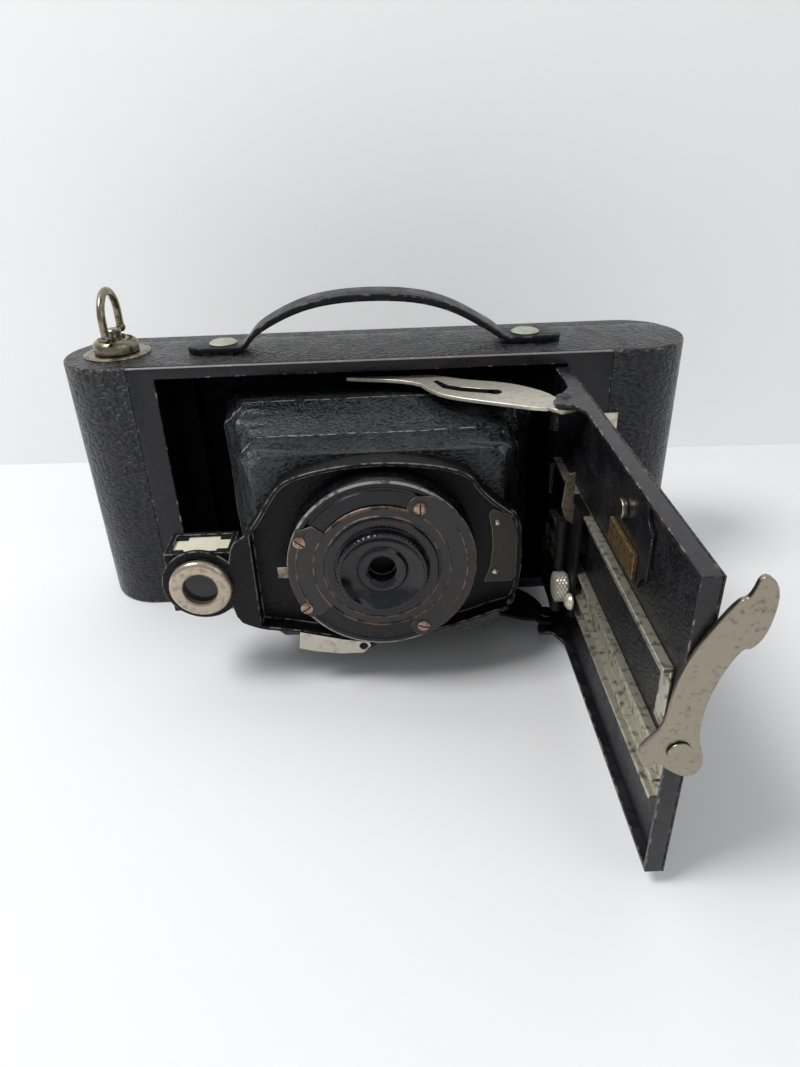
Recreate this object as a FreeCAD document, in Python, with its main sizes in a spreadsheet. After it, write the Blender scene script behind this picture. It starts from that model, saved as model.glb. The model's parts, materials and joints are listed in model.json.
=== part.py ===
"""Folding roll-film camera: casing, swing-out bed, braces, bellows, lens front, finder, winding key.

Axes: X along the casing, Y from front to back, Z up. The origin is the centre of the base.
Lengths are millimetres. "Out" is a distance in front of the casing's front face.
"""
import FreeCAD
import Part

import os

doc = FreeCAD.newDocument("folding_camera")
sheet = doc.addObject("Spreadsheet::Sheet", "Sizes")

SIZES = {
    # casing
    "case_length": 210.0,
    "case_depth": 38.0,
    "case_height": 90.0,
    "leather": 0.6,
    "cover_depth": 5.6,
    "cover_wall": 1.4,
    "seam": 0.1,
    # front opening and the chamber behind it
    "open_left_in": 16.3,
    "open_right_in": 29.5,
    "open_rim": 4.0,
    "wrap_left": 25.0,
    "wrap_right": 28.0,
    "film_back": 7.0,
    "step_back": 17.0,
    "inner_left_in": 23.3,
    "inner_right_in": 31.5,
    "gate_side": 2.0,
    "gate_low": 13.0,
    # film spools and rollers
    "spool_beyond": 1.5,
    "spool_radius": 13.6,
    "spool_core": 4.2,
    "spool_flange": 1.2,
    "spool_room": 1.0,
    "spool_low": 8.5,
    "roller_radius": 2.6,
    "roller_left_in": 18.7,
    "roller_right_in": 23.0,
    "roller_back": 8.6,
    "pin_radius": 0.9,
    "running": 0.05,
    # hinge and bed
    "hinge_over": 2.0,
    "hinge_in": 2.0,
    "knuckle_radius": 1.7,
    "hinge_pin": 0.8,
    "bed_thick": 4.0,
    "bed_plate": 1.4,
    "bed_rim": 1.2,
    "bed_short": 5.0,
    "bed_start": 1.2,
    "bed_gap": 0.6,
    "lining": 0.4,
    "bed_leather": 0.5,
    # rails, foot and scale on the bed
    "rail_plate": 0.8,
    "rail_fin": 1.8,
    "rail_start": 9.0,
    "upper_rail_up": 12.6,
    "upper_rail_short": 8.2,
    "lower_rail_down": 21.0,
    "lower_rail_wide": 14.0,
    "lower_rail_short": 4.2,
    "scale_up": 3.4,
    "scale_clear": 1.2,
    "scale_long": 32.0,
    "scale_out": 98.0,
    "foot_out": 45.0,
    "foot_long": 12.0,
    "tube_radius": 2.0,
    "knob_radius": 4.2,
    "knob_thick": 3.0,
    "knob_drop": 14.5,
    # braces
    "brace_out": 29.0,
    "brace_in": 3.5,
    "brace_thick": 1.2,
    "brace_gap": 1.2,
    "rivet_radius": 1.4,
    # leg
    "leg_thick": 1.3,
    "leg_gap": 0.3,
    "leg_over": 1.4,
    "leg_drop": 0.5,
    # lens front
    "board_out": 44.0,
    "board_plate": 1.4,
    "board_lip": 5.0,
    "lip_wall": 1.2,
    "neck_right": 42.0,
    "shutter_radius": 27.6,
    "shutter_deep": 9.5,
    "shutter_wall": 1.6,
    "face_plate": 0.6,
    "hood_radius": 13.2,
    "hood_deep": 3.4,
    "aperture": 4.1,
    "lens_radius": 9.0,
    "release_left": 7.0,
    "release_drop": 30.6,
    "release_back": 6.2,
    "release_stud": 1.2,
    # bellows
    "bellows_side": 4.0,
    "bellows_low": 10.0,
    "bellows_front_wide": 60.0,
    "bellows_front_tall": 64.0,
    "bellows_folds": 9.0,
    "fold_deep": 3.0,
    "bellows_skin": 1.0,
    # finder
    "finder_left": 53.7,
    "finder_drop": 6.5,
    "finder_wide": 20.0,
    "finder_tall": 20.0,
    "finder_deep": 13.0,
    "finder_wall": 1.0,
    "finder_ring": 9.2,
    "finder_lens": 5.2,
    "arm_radius": 11.6,
    # winding key
    "key_flange": 11.0,
    "key_boss": 7.4,
    "key_boss_tall": 7.3,
    "bail_wire": 1.3,
    "bail_tall": 13.6,
    "bail_wide": 19.0,
    # strap
    "strap_wide": 12.0,
    "strap_thick": 2.4,
    "strap_left": 63.0,
    "strap_rise": 15.5,
    "strap_rivet": 51.0,
    "strap_out": -17.5,
    # back
    "door_wide": 15.0,
    "door_tall": 46.0,
    "door_thick": 1.0,
    "door_left": 36.0,
    "window_radius": 4.0,
    "window_right": 34.0,
    # tripod socket
    "socket_radius": 2.6,
    "socket_deep": 5.0,
    "socket_flange": 8.0,
}

# What fits in, or lines up with, another piece follows it by a named clearance.
FITTED = {
    "axis_high": "case_height / 2",
    "spool_place": "case_length / 2 - case_depth / 2 + spool_beyond",
    "open_left": "spool_place - open_left_in",
    "open_right": "spool_place - open_right_in",
    "inner_left": "spool_place - inner_left_in",
    "inner_right": "spool_place - inner_right_in",
    "chamber_depth": "case_depth - film_back",
    "chamber_step": "case_depth - step_back",
    "roller_left": "spool_place - roller_left_in",
    "roller_right": "spool_place - roller_right_in",
    "roller_out": "case_depth - roller_back",
    "hinge_right": "open_right + hinge_over",
    "bed_inner": "open_right",
    "bed_outer": "open_right + bed_thick",
    "bed_reach": "open_left + hinge_right - bed_short",
    "upper_rail_end": "bed_reach - upper_rail_short",
    "lower_rail_end": "bed_reach - lower_rail_short",
    "brace_right": "bed_inner - brace_in",
    "leg_pivot_right": "bed_inner + leg_over",
    "gate_width": "2 * (inner_right - gate_side)",
    "gate_height": "case_height - 2 * gate_low",
    "frame_left": "case_length / 2 - wrap_left",
    "frame_right": "case_length / 2 - wrap_right",
    "spool_length": "case_height - 2 * spool_low",
    "upper_rail_high": "axis_high + upper_rail_up",
    "lower_rail_low": "axis_high - lower_rail_down",
    "scale_tall": "case_height - open_rim - bed_gap - bed_rim - scale_clear - upper_rail_high - scale_up",
    "knob_high": "axis_high - knob_drop",
    "leg_pivot_high": "axis_high - leg_drop",
    "finder_high": "axis_high - finder_drop",
    "bellows_back_wide": "2 * (inner_right - bellows_side)",
    "bellows_back_tall": "case_height - 2 * bellows_low",
}

for row, (alias, value) in enumerate([*SIZES.items(), *FITTED.items()], start=1):
    sheet.set(f"A{row}", alias)
    sheet.set(f"B{row}", repr(value) if alias in SIZES else f"={value}")
    sheet.setAlias(f"B{row}", alias)
doc.recompute()


def size(alias):
    """A driving size, read back from the sheet."""
    return float(sheet.get(alias))


def bind(thing, **fields):
    """Bind fields to formulas, where [name] is a size in the sheet; px, py, pz are the place."""
    places = {"px": "Placement.Base.x", "py": "Placement.Base.y", "pz": "Placement.Base.z"}
    for field, formula in fields.items():
        thing.setExpression(places.get(field, field), formula.replace("[", "Sizes.").replace("]", ""))
    return thing


TURN = {
    "x": FreeCAD.Rotation(FreeCAD.Vector(0, 1, 0), 90),
    "y": FreeCAD.Rotation(FreeCAD.Vector(1, 0, 0), -90),
    "z": FreeCAD.Rotation(),
}


def block(x, y, z, wide, deep, tall, name="block"):
    """A box from its low corner and its three sizes, all formulas."""
    box = doc.addObject("Part::Box", name)
    return bind(box, px=x, py=y, pz=z, Length=wide, Width=deep, Height=tall)


def rod(x, y, z, radius, length, along="z", name="rod"):
    """A cylinder that starts at a point and runs along +x, +y or +z."""
    cylinder = doc.addObject("Part::Cylinder", name)
    cylinder.Placement.Rotation = TURN[along]
    return bind(cylinder, px=x, py=y, pz=z, Radius=radius, Height=length)


def cone(x, y, z, first, second, length, along="z", name="cone"):
    """A cone between two radii that starts at a point and runs along +x, +y or +z."""
    taper = doc.addObject("Part::Cone", name)
    taper.Placement.Rotation = TURN[along]
    return bind(taper, px=x, py=y, pz=z, Radius1=first, Radius2=second, Height=length)


def join(*things, name="join"):
    """One solid out of several that overlap."""
    fused = doc.addObject("Part::MultiFuse", name)
    fused.Shapes = list(things)
    fused.Refine = True
    return fused


def cut(base, *tools, name="cut"):
    """A base with every tool taken out of it."""
    tool = tools[0] if len(tools) == 1 else join(*tools)
    result = doc.addObject("Part::Cut", name)
    result.Base = base
    result.Tool = tool
    return result


def keep(base, region, name="keep"):
    """The part of a base that lies inside a region."""
    common = doc.addObject("Part::Common", name)
    common.Base = base
    common.Tool = region
    return common


def shaped(shape, name="shaped"):
    """An object whose form comes from curves worked out from the sheet."""
    feature = doc.addObject("Part::Feature", name)
    feature.Shape = shape
    return feature


def group(*things, name="group"):
    """Several separate solids that are one kind of piece."""
    compound = doc.addObject("Part::Compound", name)
    compound.Links = list(things)
    return compound


SUBPARTS = []


def subpart(thing, label):
    """Name a finished sub-part; its label is the name of its file."""
    thing.Label = label
    SUBPARTS.append(thing)
    return thing


FRONT = "(-[case_depth] / 2)"
HIGH = "[case_height]"


def out(distance):
    """The formula of a place in front of the casing's front face."""
    return f"{FRONT} - ({distance})"


def plate_outline(points, y_front, thick):
    """A flat plate in the XZ plane from its outline; each point is (x, z)."""
    corners = [FreeCAD.Vector(x, y_front, z) for x, z in points]
    face = Part.Face(Part.makePolygon(corners + corners[:1]))
    return face.extrude(FreeCAD.Vector(0, thick, 0))


def rounded(points, rounds=2):
    """An outline with its corners cut off again and again, until it looks smooth."""
    for _ in range(rounds):
        pairs = list(zip(points, points[1:] + points[:1]))
        points = [
            (a[0] + (b[0] - a[0]) * share, a[1] + (b[1] - a[1]) * share)
            for a, b in pairs for share in (0.25, 0.75)
        ]
    return points


# ---------------------------------------------------------------- casing
def stadium(inset, name):
    """The casing's outer form, drawn in by an inset on every side."""
    half = "([case_depth] / 2 - (%s))" % inset
    tall = f"{HIGH} - 2 * ({inset})"
    middle = block(
        "-[case_length] / 2 + [case_depth] / 2", f"-{half}", inset,
        "[case_length] - [case_depth]", f"2 * {half}", tall,
    )
    ends = [
        rod(f"{side} * ([case_length] / 2 - [case_depth] / 2)", "0", inset, half, tall)
        for side in (-1, 1)
    ]
    return join(middle, *ends, name=name)


SEAM = "([case_depth] / 2 - [cover_depth])"
LENGTHWISE = ("-[case_length]", "2 * [case_length]")


def behind(limit, name="behind"):
    """Everything behind a plane."""
    return block(LENGTHWISE[0], limit, "-10", LENGTHWISE[1], "[case_depth]", "[case_height] + 20", name)


def spool_well(side):
    """The round well that a film spool lies in, open at the back."""
    radius = "([spool_radius] + [spool_room])"
    place = f"{side} * [spool_place]"
    return [
        rod(place, "0", "[open_rim]", radius, f"{HIGH} - 2 * [open_rim]"),
        block(f"{place} - {radius}", "0", "[open_rim]", f"2 * {radius}", "[case_depth]",
              f"{HIGH} - 2 * [open_rim]"),
    ]


def roller_well(place):
    """The slot that holds a film roller, with holes for its pins."""
    half = "([roller_radius] + 0.6)"
    y = out("-[roller_out]")
    return [
        block(f"{place} - {half}", f"{y} - {half}", "[open_rim] + 2", f"2 * {half}", "[case_depth]",
              f"{HIGH} - 2 * [open_rim] - 4"),
        rod(place, y, "[open_rim] - 1", "[pin_radius] + [running]", f"{HIGH} - 2 * [open_rim] + 2"),
    ]


def opening(right, margin="0"):
    """The front opening, through to the chamber's step."""
    return block(
        "-[open_left]", out("5"), f"[open_rim] - ({margin})",
        f"[open_left] + {right}", "[chamber_step] + 5", f"{HIGH} - 2 * [open_rim] + 2 * ({margin})",
    )


hinge_pocket = block(
    "[hinge_right] - [knuckle_radius] - 0.5", out("5"), "[open_rim]",
    "2 * [knuckle_radius] + 1", "[hinge_in] + [knuckle_radius] + 5.5", f"{HIGH} - 2 * [open_rim]",
)
inner_chamber = block(
    "-[inner_left]", out("-5"), "[open_rim]",
    "[inner_left] + [inner_right]", "[chamber_depth] - 5", f"{HIGH} - 2 * [open_rim]",
)
film_gate = block(
    "-[gate_width] / 2", "0", "[axis_high] - [gate_height] / 2",
    "[gate_width]", "[case_depth]", "[gate_height]",
)
key_hole = rod("-[spool_place]", "0", f"{HIGH} - [open_rim] - 1", "3.2", "10")
stud_holes = [
    rod(f"{side} * [spool_place]", "0", "[leather] + 0.6", "[pin_radius] + [running]", "10")
    for side in (-1, 1)
]
supply_top_hole = rod("[spool_place]", "0", f"{HIGH} - [open_rim] - 1", "[pin_radius] + [running]",
                      "[open_rim] - [leather] - 0.6 + 1")
socket_hole = join(
    rod("0", "0", "-1", "[socket_flange] / 2 + 1.5", "[socket_deep] + 3"),
    rod("0", "0", "-1", "[socket_flange]", "2"),
)

KNUCKLES = 7


def knuckle(index, name):
    """One knuckle of the bed's hinge, bored for the pin."""
    step = f"(({HIGH} - 2 * [open_rim]) / {KNUCKLES})"
    low = f"[open_rim] + {step} * {index} + 0.15"
    barrel = rod("[hinge_right]", out("-[hinge_in]"), low, "[knuckle_radius]", f"{step} - 0.3")
    if index % 2:
        leaf = block("[hinge_right] + 0.4", out("[bed_start] + 0.4"), low, "[knuckle_radius] - 0.4",
                     "[hinge_in] + [bed_start] + 0.4", f"{step} - 0.3")
    else:
        leaf = block("[hinge_right] - [knuckle_radius]", out("-[hinge_in]"), low,
                     "2 * [knuckle_radius]", "[knuckle_radius] + 0.8", f"{step} - 0.3")
    bore = rod("[hinge_right]", out("-[hinge_in]"), "0", "[hinge_pin] + [running]", HIGH)
    return cut(join(barrel, leaf), bore, name=name)


shell_blank = cut(
    stadium("[leather]", "shell_form"),
    behind(f"{SEAM} - [seam]"),
    opening("[open_right]"),
    inner_chamber,
    film_gate,
    hinge_pocket,
    *spool_well(-1),
    *spool_well(1),
    *roller_well("-[roller_left]"),
    *roller_well("[roller_right]"),
    key_hole,
    *stud_holes,
    supply_top_hole,
    socket_hole,
    name="shell_blank",
)
body_knuckles = [knuckle(index, f"body_knuckle_{index}") for index in range(0, KNUCKLES, 2)]
BETWEEN = f"{HIGH} - 2 * [open_rim]"


def region(left, right, low, tall):
    """A region of the casing between two places along X and of a height."""
    return block(left, "-[case_depth]", low, f"{right} - ({left})", "2 * [case_depth]", tall)


subpart(keep(shell_blank, region("-[case_length]", "[case_length]", f"{HIGH} - [open_rim]", "[case_height]")),
        "shell_top")
subpart(keep(shell_blank, region("-[case_length]", "[case_length]", "-1", "[open_rim] + 1")), "shell_base")
subpart(keep(shell_blank, region("-[case_length]", "(-[inner_left])", "[open_rim]", BETWEEN)), "take_up_end")
supply_end = keep(shell_blank, region("[inner_right]", "[case_length]", "[open_rim]", BETWEEN))
subpart(join(supply_end, *body_knuckles, name="supply_room"), "supply_end")
subpart(keep(shell_blank, region("-[inner_left]", "[inner_right]", "[open_rim]", BETWEEN)), "film_frame")

subpart(
    rod("[hinge_right]", out("-[hinge_in]"), "[open_rim] + 0.2", "[hinge_pin]",
        f"{HIGH} - 2 * [open_rim] - 0.4", name="hinge_pin_rod"),
    "bed_hinge_pin",
)

frame_plate = block("-[frame_left]", FRONT, "[leather]", "[frame_left] + [frame_right]", "[leather]",
                    f"{HIGH} - 2 * [leather]")
frame_window = block("-[open_left]", out("1"), "[open_rim]",
                     "[open_left] + [hinge_right] + [knuckle_radius] + 0.5", "3",
                     f"{HIGH} - 2 * [open_rim]")
subpart(cut(frame_plate, frame_window, name="frame"), "front_frame")

leather_cuts = [
    stadium("[leather]", "leather_inside"),
    block("-[frame_left]", out("1"), "[leather]", "[frame_left] + [frame_right]", "3",
          f"{HIGH} - 2 * [leather]"),
    behind(f"{SEAM} - [seam]"),
    rod("-[spool_place]", "0", "[case_height] / 2", "3.2", HIGH),
    rod("0", "0", "-1", "[socket_flange] + [running]", "5"),
]
covering = cut(stadium("0", "leather_form"), *leather_cuts, name="covering")
sheets = [
    keep(covering, region("-[case_length]", "[case_length]", low, tall))
    for low, tall in ((f"{HIGH} - [leather]", "[case_height]"), ("-1", "[leather] + 1"))
]
wraps = [
    keep(covering, region(left, right, "[leather]", f"{HIGH} - 2 * [leather]"))
    for left, right in (("-[case_length]", "0"), ("0", "[case_length]"))
]
subpart(group(*sheets, *wraps, name="leather"), "body_leather")

# ---------------------------------------------------------------- back
cover_front = block(LENGTHWISE[0], "-[case_depth]", "-10", LENGTHWISE[1],
                    f"[case_depth] + {SEAM}", "[case_height] + 20")
door_slot = block("-[door_left] - [door_wide] / 2 + 3", "0", "[axis_high] - [door_tall] / 2 + 3",
                  "[door_wide] - 6", "[case_depth]", "[door_tall] - 6")
window_hole = rod("[window_right]", "0", "[axis_high]", "[window_radius]", "[case_depth]", "y")
subpart(
    cut(stadium("[leather]", "cover_form"), cover_front,
        stadium("[leather] + [cover_wall]", "cover_inside"), door_slot, window_hole, name="cover"),
    "back_cover",
)
subpart(
    cut(stadium("0", "back_leather_form"), stadium("[leather]", "back_leather_inside"), cover_front,
        door_slot, window_hole, name="back_skin"),
    "back_leather",
)
subpart(
    rod("[window_right]", "[case_depth] / 2 - [leather] - [cover_wall]", "[axis_high]",
        "[window_radius] - [running]", "[cover_wall]", "y", name="window"),
    "red_window",
)

DOOR_FACE = "([case_depth] / 2 + 0.1)"
door_hinge_x = "(-[door_left] - [door_wide] / 2)"
door_plate = block(door_hinge_x, DOOR_FACE, "[axis_high] - [door_tall] / 2", "[door_wide]",
                   "[door_thick]", "[door_tall]")
door_barrel = rod(door_hinge_x, f"{DOOR_FACE} + 1.1", "[axis_high] - [door_tall] / 2 + 4",
                  "1.1", "[door_tall] - 8")
door_bore = rod(door_hinge_x, f"{DOOR_FACE} + 1.1", "0", "0.5 + [running]", HIGH)
subpart(cut(join(door_plate, door_barrel), door_bore, name="door"), "film_note_door")

door_pin = rod(door_hinge_x, f"{DOOR_FACE} + 1.1", "[axis_high] - [door_tall] / 2 - 2", "0.5",
               "[door_tall] + 4")
door_ears = [
    block(f"{door_hinge_x} - 1.5", "[case_depth] / 2", f"[axis_high] + {z}", "3", "2.3", "2.5")
    for z in ("[door_tall] / 2 + 0.3", "(-2.8 - [door_tall] / 2)")
]
subpart(join(*door_ears, door_pin, name="door_mount"), "note_door_hinge")

stylus_x = "-[door_left] + [door_wide] / 2 + 4"
stylus_y = "[case_depth] / 2 + 1.3"
stylus = join(
    rod(stylus_x, stylus_y, "[axis_high] - 17", "1.2", "34"),
    cone(stylus_x, stylus_y, "[axis_high] - 21", "0.3", "1.2", "4"),
    *[block(f"{stylus_x} - 0.8", "[case_depth] / 2", f"[axis_high] + {z}", "1.6", "1", "4") for z in (-12, 8)],
    name="stylus_rod",
)
subpart(stylus, "stylus")

# ---------------------------------------------------------------- film spools and rollers
def spool(place, label, *extras):
    """A wooden film spool: a core between two flanges."""
    low = "[axis_high] - [spool_length] / 2"
    core = rod(place, "0", low, "[spool_core]", "[spool_length]")
    flanges = [
        rod(place, "0", z, "[spool_radius]", "[spool_flange]")
        for z in (low, "[axis_high] + [spool_length] / 2 - [spool_flange]")
    ]
    return join(core, *flanges, *extras, name=label)


take_up_stud = rod("-[spool_place]", "0", "[leather] + 0.9", "[pin_radius]", "[axis_high] - [leather] - 0.9")
subpart(spool("-[spool_place]", "take_up", take_up_stud), "take_up_spool")
supply_stud = rod("[spool_place]", "0", "[leather] + 0.9", "[pin_radius]",
                  "[case_height] - 2 * [leather] - 1.8")
subpart(spool("[spool_place]", "supply", supply_stud), "supply_spool")

for side, place in (("left", "-[roller_left]"), ("right", "[roller_right]")):
    y = out("-[roller_out]")
    barrel = rod(place, y, "[open_rim] + 2.4", "[roller_radius]", f"{HIGH} - 2 * [open_rim] - 4.8")
    pins = rod(place, y, "[open_rim] - 0.7", "[pin_radius]", f"{HIGH} - 2 * [open_rim] + 1.4")
    subpart(join(barrel, pins, name=f"roller_{side}_form"), f"film_roller_{side}")

# ---------------------------------------------------------------- winding key
FLANGE_TALL = 0.8
KEY_X = "-[spool_place]"
SPOOL_TOP = "([axis_high] + [spool_length] / 2)"
flange_bore = rod(KEY_X, "0", "[case_height] - 1", "3.2", "6")
subpart(cut(rod(KEY_X, "0", HIGH, "[key_flange]", f"{FLANGE_TALL}"), flange_bore, name="flange"),
        "key_flange")

BOSS_LOW = f"({HIGH} + {FLANGE_TALL} + 0.2)"
BAIL_HIGH = f"({BOSS_LOW} + [key_boss_tall] - 1.5)"
boss = join(
    rod(KEY_X, "0", BOSS_LOW, "[key_boss]", "3"),
    cone(KEY_X, "0", f"{BOSS_LOW} + 3", "[key_boss]", "[key_boss] - 2", "1"),
    rod(KEY_X, "0", f"{BOSS_LOW} + 3", "2.5", "[key_boss_tall] - 3"),
    rod(KEY_X, "0", SPOOL_TOP, "3", f"{BOSS_LOW} - {SPOOL_TOP} + 1"),
)
boss_bore = rod(KEY_X, "-20", BAIL_HIGH, "0.8 + [running]", "40", "y")
subpart(cut(boss, boss_bore, name="boss"), "key_boss")


def bail():
    """The folding loop of the key: two legs, a round top and a cross pin through the boss."""
    high = size("case_height") + FLANGE_TALL + 0.2 + size("key_boss_tall") - 1.5
    half = size("bail_wide") / 2 - size("bail_wire")
    middle = -size("spool_place")
    top = high + size("bail_tall") - half
    path = Part.Wire([
        Part.LineSegment(FreeCAD.Vector(middle, -half, high), FreeCAD.Vector(middle, -half, top)).toShape(),
        Part.Arc(
            FreeCAD.Vector(middle, -half, top),
            FreeCAD.Vector(middle, 0, top + half),
            FreeCAD.Vector(middle, half, top),
        ).toShape(),
        Part.LineSegment(FreeCAD.Vector(middle, half, top), FreeCAD.Vector(middle, half, high)).toShape(),
    ])
    section = Part.Wire(Part.makeCircle(
        size("bail_wire"), FreeCAD.Vector(middle, -half, high), FreeCAD.Vector(0, 0, 1)))
    loop = path.makePipeShell([section], True, False)
    eyes = [
        Part.makeSphere(size("bail_wire") * 1.25, FreeCAD.Vector(middle, side * half, high))
        for side in (-1, 1)
    ]
    pin = Part.makeCylinder(0.8, 2 * half, FreeCAD.Vector(middle, -half, high), FreeCAD.Vector(0, 1, 0))
    return loop.fuse(eyes + [pin]).removeSplitter()


subpart(shaped(bail(), "bail"), "key_bail")

# ---------------------------------------------------------------- carrying strap
def strap():
    """A leather strap that lies flat at both ends and arches between them."""
    seat = size("case_height")
    end = size("strap_left")
    flat = size("strap_rivet") - 5
    rise = size("strap_rise")
    wide = size("strap_wide")
    y = size("strap_out") * -1 - size("case_depth") / 2 - wide / 2

    def edge(lift):
        curve = Part.BSplineCurve()
        heights = ((-1, 0), (-0.9, 0.2), (-0.73, 0.56), (-0.5, 0.84), (-0.19, 0.99), (0.03, 1), (0.4, 0.87),
                   (0.62, 0.63), (0.77, 0.38), (0.9, 0.13), (1, 0))
        points = [FreeCAD.Vector(share * flat, y, seat + lift + rise * tall) for share, tall in heights]
        flat_way = FreeCAD.Vector(1, 0, 0)
        curve.interpolate(Points=points, InitialTangent=flat_way, FinalTangent=flat_way)
        return curve, points[0], points[-1]

    low, low_left, low_right = edge(0)
    high, high_left, high_right = edge(size("strap_thick"))
    corners = [
        FreeCAD.Vector(side * end, y, seat + lift)
        for side, lift in ((1, 0), (1, size("strap_thick")), (-1, size("strap_thick")), (-1, 0))
    ]
    segments = [
        (low_right, corners[0]), (corners[0], corners[1]), (corners[1], high_right),
        (high_left, corners[2]), (corners[2], corners[3]), (corners[3], low_left),
    ]
    edges = [Part.LineSegment(*pair).toShape() for pair in segments] + [low.toShape(), high.toShape()]
    face = Part.Face(Part.Wire(Part.__sortEdges__(edges)))
    solid = face.extrude(FreeCAD.Vector(0, wide, 0))
    tall = 2 * rise
    rounder = Part.makeBox(2 * end - wide, wide, tall, FreeCAD.Vector(wide / 2 - end, y, seat - 1))
    caps = [
        Part.makeCylinder(wide / 2, tall, FreeCAD.Vector(side * (end - wide / 2), y + wide / 2, seat - 1))
        for side in (-1, 1)
    ]
    return solid.common(rounder.fuse(caps))


subpart(shaped(strap(), "strap"), "carry_strap")
STRAP_TOP = f"{HIGH} + [strap_thick]"
STRAP_Y = out("[strap_out]")
rivets = [
    join(
        rod(f"{side} * [strap_rivet]", STRAP_Y, STRAP_TOP, "4.6", "0.5"),
        cone(f"{side} * [strap_rivet]", STRAP_Y, f"{STRAP_TOP} + 0.5", "4.6", "2.6", "0.7"),
    )
    for side in (-1, 1)
]
subpart(group(*rivets, name="rivets"), "strap_rivets")

# ---------------------------------------------------------------- catch and tripod bush
subpart(block("[frame_right] - 3.2", out("1.2"), "[axis_high] + 16.6", "6.4", "1.2", "7.6", "lock_tab"),
        "back_lock_tab")

bush = cut(
    join(rod("0", "0", "0", "[socket_flange]", "0.9"),
         rod("0", "0", "0", "[socket_flange] / 2 + 1.4", "[socket_deep] + 1")),
    rod("0", "0", "-1", "[socket_radius]", "[socket_deep] + 1"),
    name="bush",
)
subpart(bush, "tripod_bush")

# ---------------------------------------------------------------- bed
BED_LOW = "([open_rim] + [bed_gap])"
BED_TALL = f"({HIGH} - 2 * {BED_LOW})"
BED_END = out("[bed_reach]")
BED_LONG = "([bed_reach] - [bed_start])"
tray = cut(
    block("[bed_inner]", BED_END, BED_LOW, "[bed_outer] - [bed_inner]", BED_LONG, BED_TALL),
    block("[bed_inner] - 1", f"{BED_END} + [bed_rim]", f"{BED_LOW} + [bed_rim]",
          "[bed_outer] - [bed_plate] - [bed_inner] + 1", BED_LONG, f"{BED_TALL} - 2 * [bed_rim]"),
)
bed_knuckles = [knuckle(index, f"bed_knuckle_{index}") for index in range(1, KNUCKLES, 2)]


def lug(high, name):
    """The corner plate of the bed that a brace is riveted to."""
    right = size("bed_inner") + 0.5
    near = -size("case_depth") / 2
    points = [(right, near - 8), (right - 1, near - 21), (size("brace_right") - 3.6, near - 32),
              (size("brace_right") - 3.6, near - 35.4), (size("brace_right") + 1, near - 36), (right, near - 43)]
    corners = [FreeCAD.Vector(x, y, high) for x, y in points]
    face = Part.Face(Part.makePolygon(corners + corners[:1]))
    solid = face.extrude(FreeCAD.Vector(0, 0, size("bed_rim")))
    return shaped(solid, name)


bed_low = size("open_rim") + size("bed_gap")
bed_high = size("case_height") - bed_low
lugs = [lug(bed_low, "lower_lug"), lug(bed_high - size("bed_rim"), "upper_lug")]
subpart(join(tray, *bed_knuckles, *lugs, name="tray"), "bed_panel")

PLATE_IN = "([bed_outer] - [bed_plate])"
FLOOR = f"({PLATE_IN} - [lining])"
subpart(
    block(FLOOR, f"{BED_END} + [bed_rim]", f"{BED_LOW} + [bed_rim]", "[lining]",
          f"{BED_LONG} - [bed_rim] - 0.5", f"{BED_TALL} - 2 * [bed_rim]", "lining_sheet"),
    "bed_lining",
)
subpart(
    block("[bed_outer]", BED_END, BED_LOW, "[bed_leather]", BED_LONG, BED_TALL, "bed_skin"),
    "bed_leather",
)


def rail(low, wide, end, fins, name):
    """A stamped rail on the bed floor with upright fins that the foot slides along."""
    y = out(end)
    long = f"{end} - [rail_start]"
    base = block(f"{FLOOR} - [rail_plate]", y, low, "[rail_plate]", long, wide)
    uprights = [
        block(f"{FLOOR} - [rail_plate] - [rail_fin]", y, f"{low} + {place}", "[rail_fin]", long, "1.1")
        for place in fins
    ]
    return join(base, *uprights, name=name)


upper_rail = rail("[upper_rail_high] - 5", "5", "[upper_rail_end]", ("3.9",), "upper_rail_strip")
hook = block(f"{FLOOR} - [rail_plate]", out("[upper_rail_end]"), "[lower_rail_low] + [lower_rail_wide] + 3",
             "[rail_plate]", "5", "[upper_rail_high] - [lower_rail_low] - [lower_rail_wide] - 4")
subpart(join(upper_rail, hook, name="upper_rail_form"), "upper_rail")
subpart(rail("[lower_rail_low]", "[lower_rail_wide]", "[lower_rail_end]",
             ("0", "5.2", "[lower_rail_wide] - 1.1"), "lower_rail_form"), "lower_rail")

SCALE_LOW = "([upper_rail_high] + [scale_up])"
SCALE_HIGH = f"({SCALE_LOW} + [scale_tall])"
scale_corners = [("[scale_out]", SCALE_LOW), ("[scale_out] - [scale_long]", SCALE_HIGH),
                 ("[scale_out]", SCALE_HIGH)]
subpart(
    cut(
        block(f"{FLOOR} - 1", out("[scale_out]"), SCALE_LOW, "1", "[scale_long]", "[scale_tall]"),
        *[rod(f"{FLOOR} - 3", out(place), high, "5", "6", "x") for place, high in scale_corners],
        name="scale",
    ),
    "distance_scale",
)
subpart(block(f"{FLOOR} - 2.2", out("[scale_out] - 6"), f"{SCALE_LOW} + 1.5", "1.2", "20", "6.5", "pointer"),
        "scale_pointer")
subpart(rod(f"{FLOOR} - 2.6", out("[scale_out] - 18.5"), f"{SCALE_LOW} + 14", "2.4", "1.6", "x", "screw"),
        "scale_screw")

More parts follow.
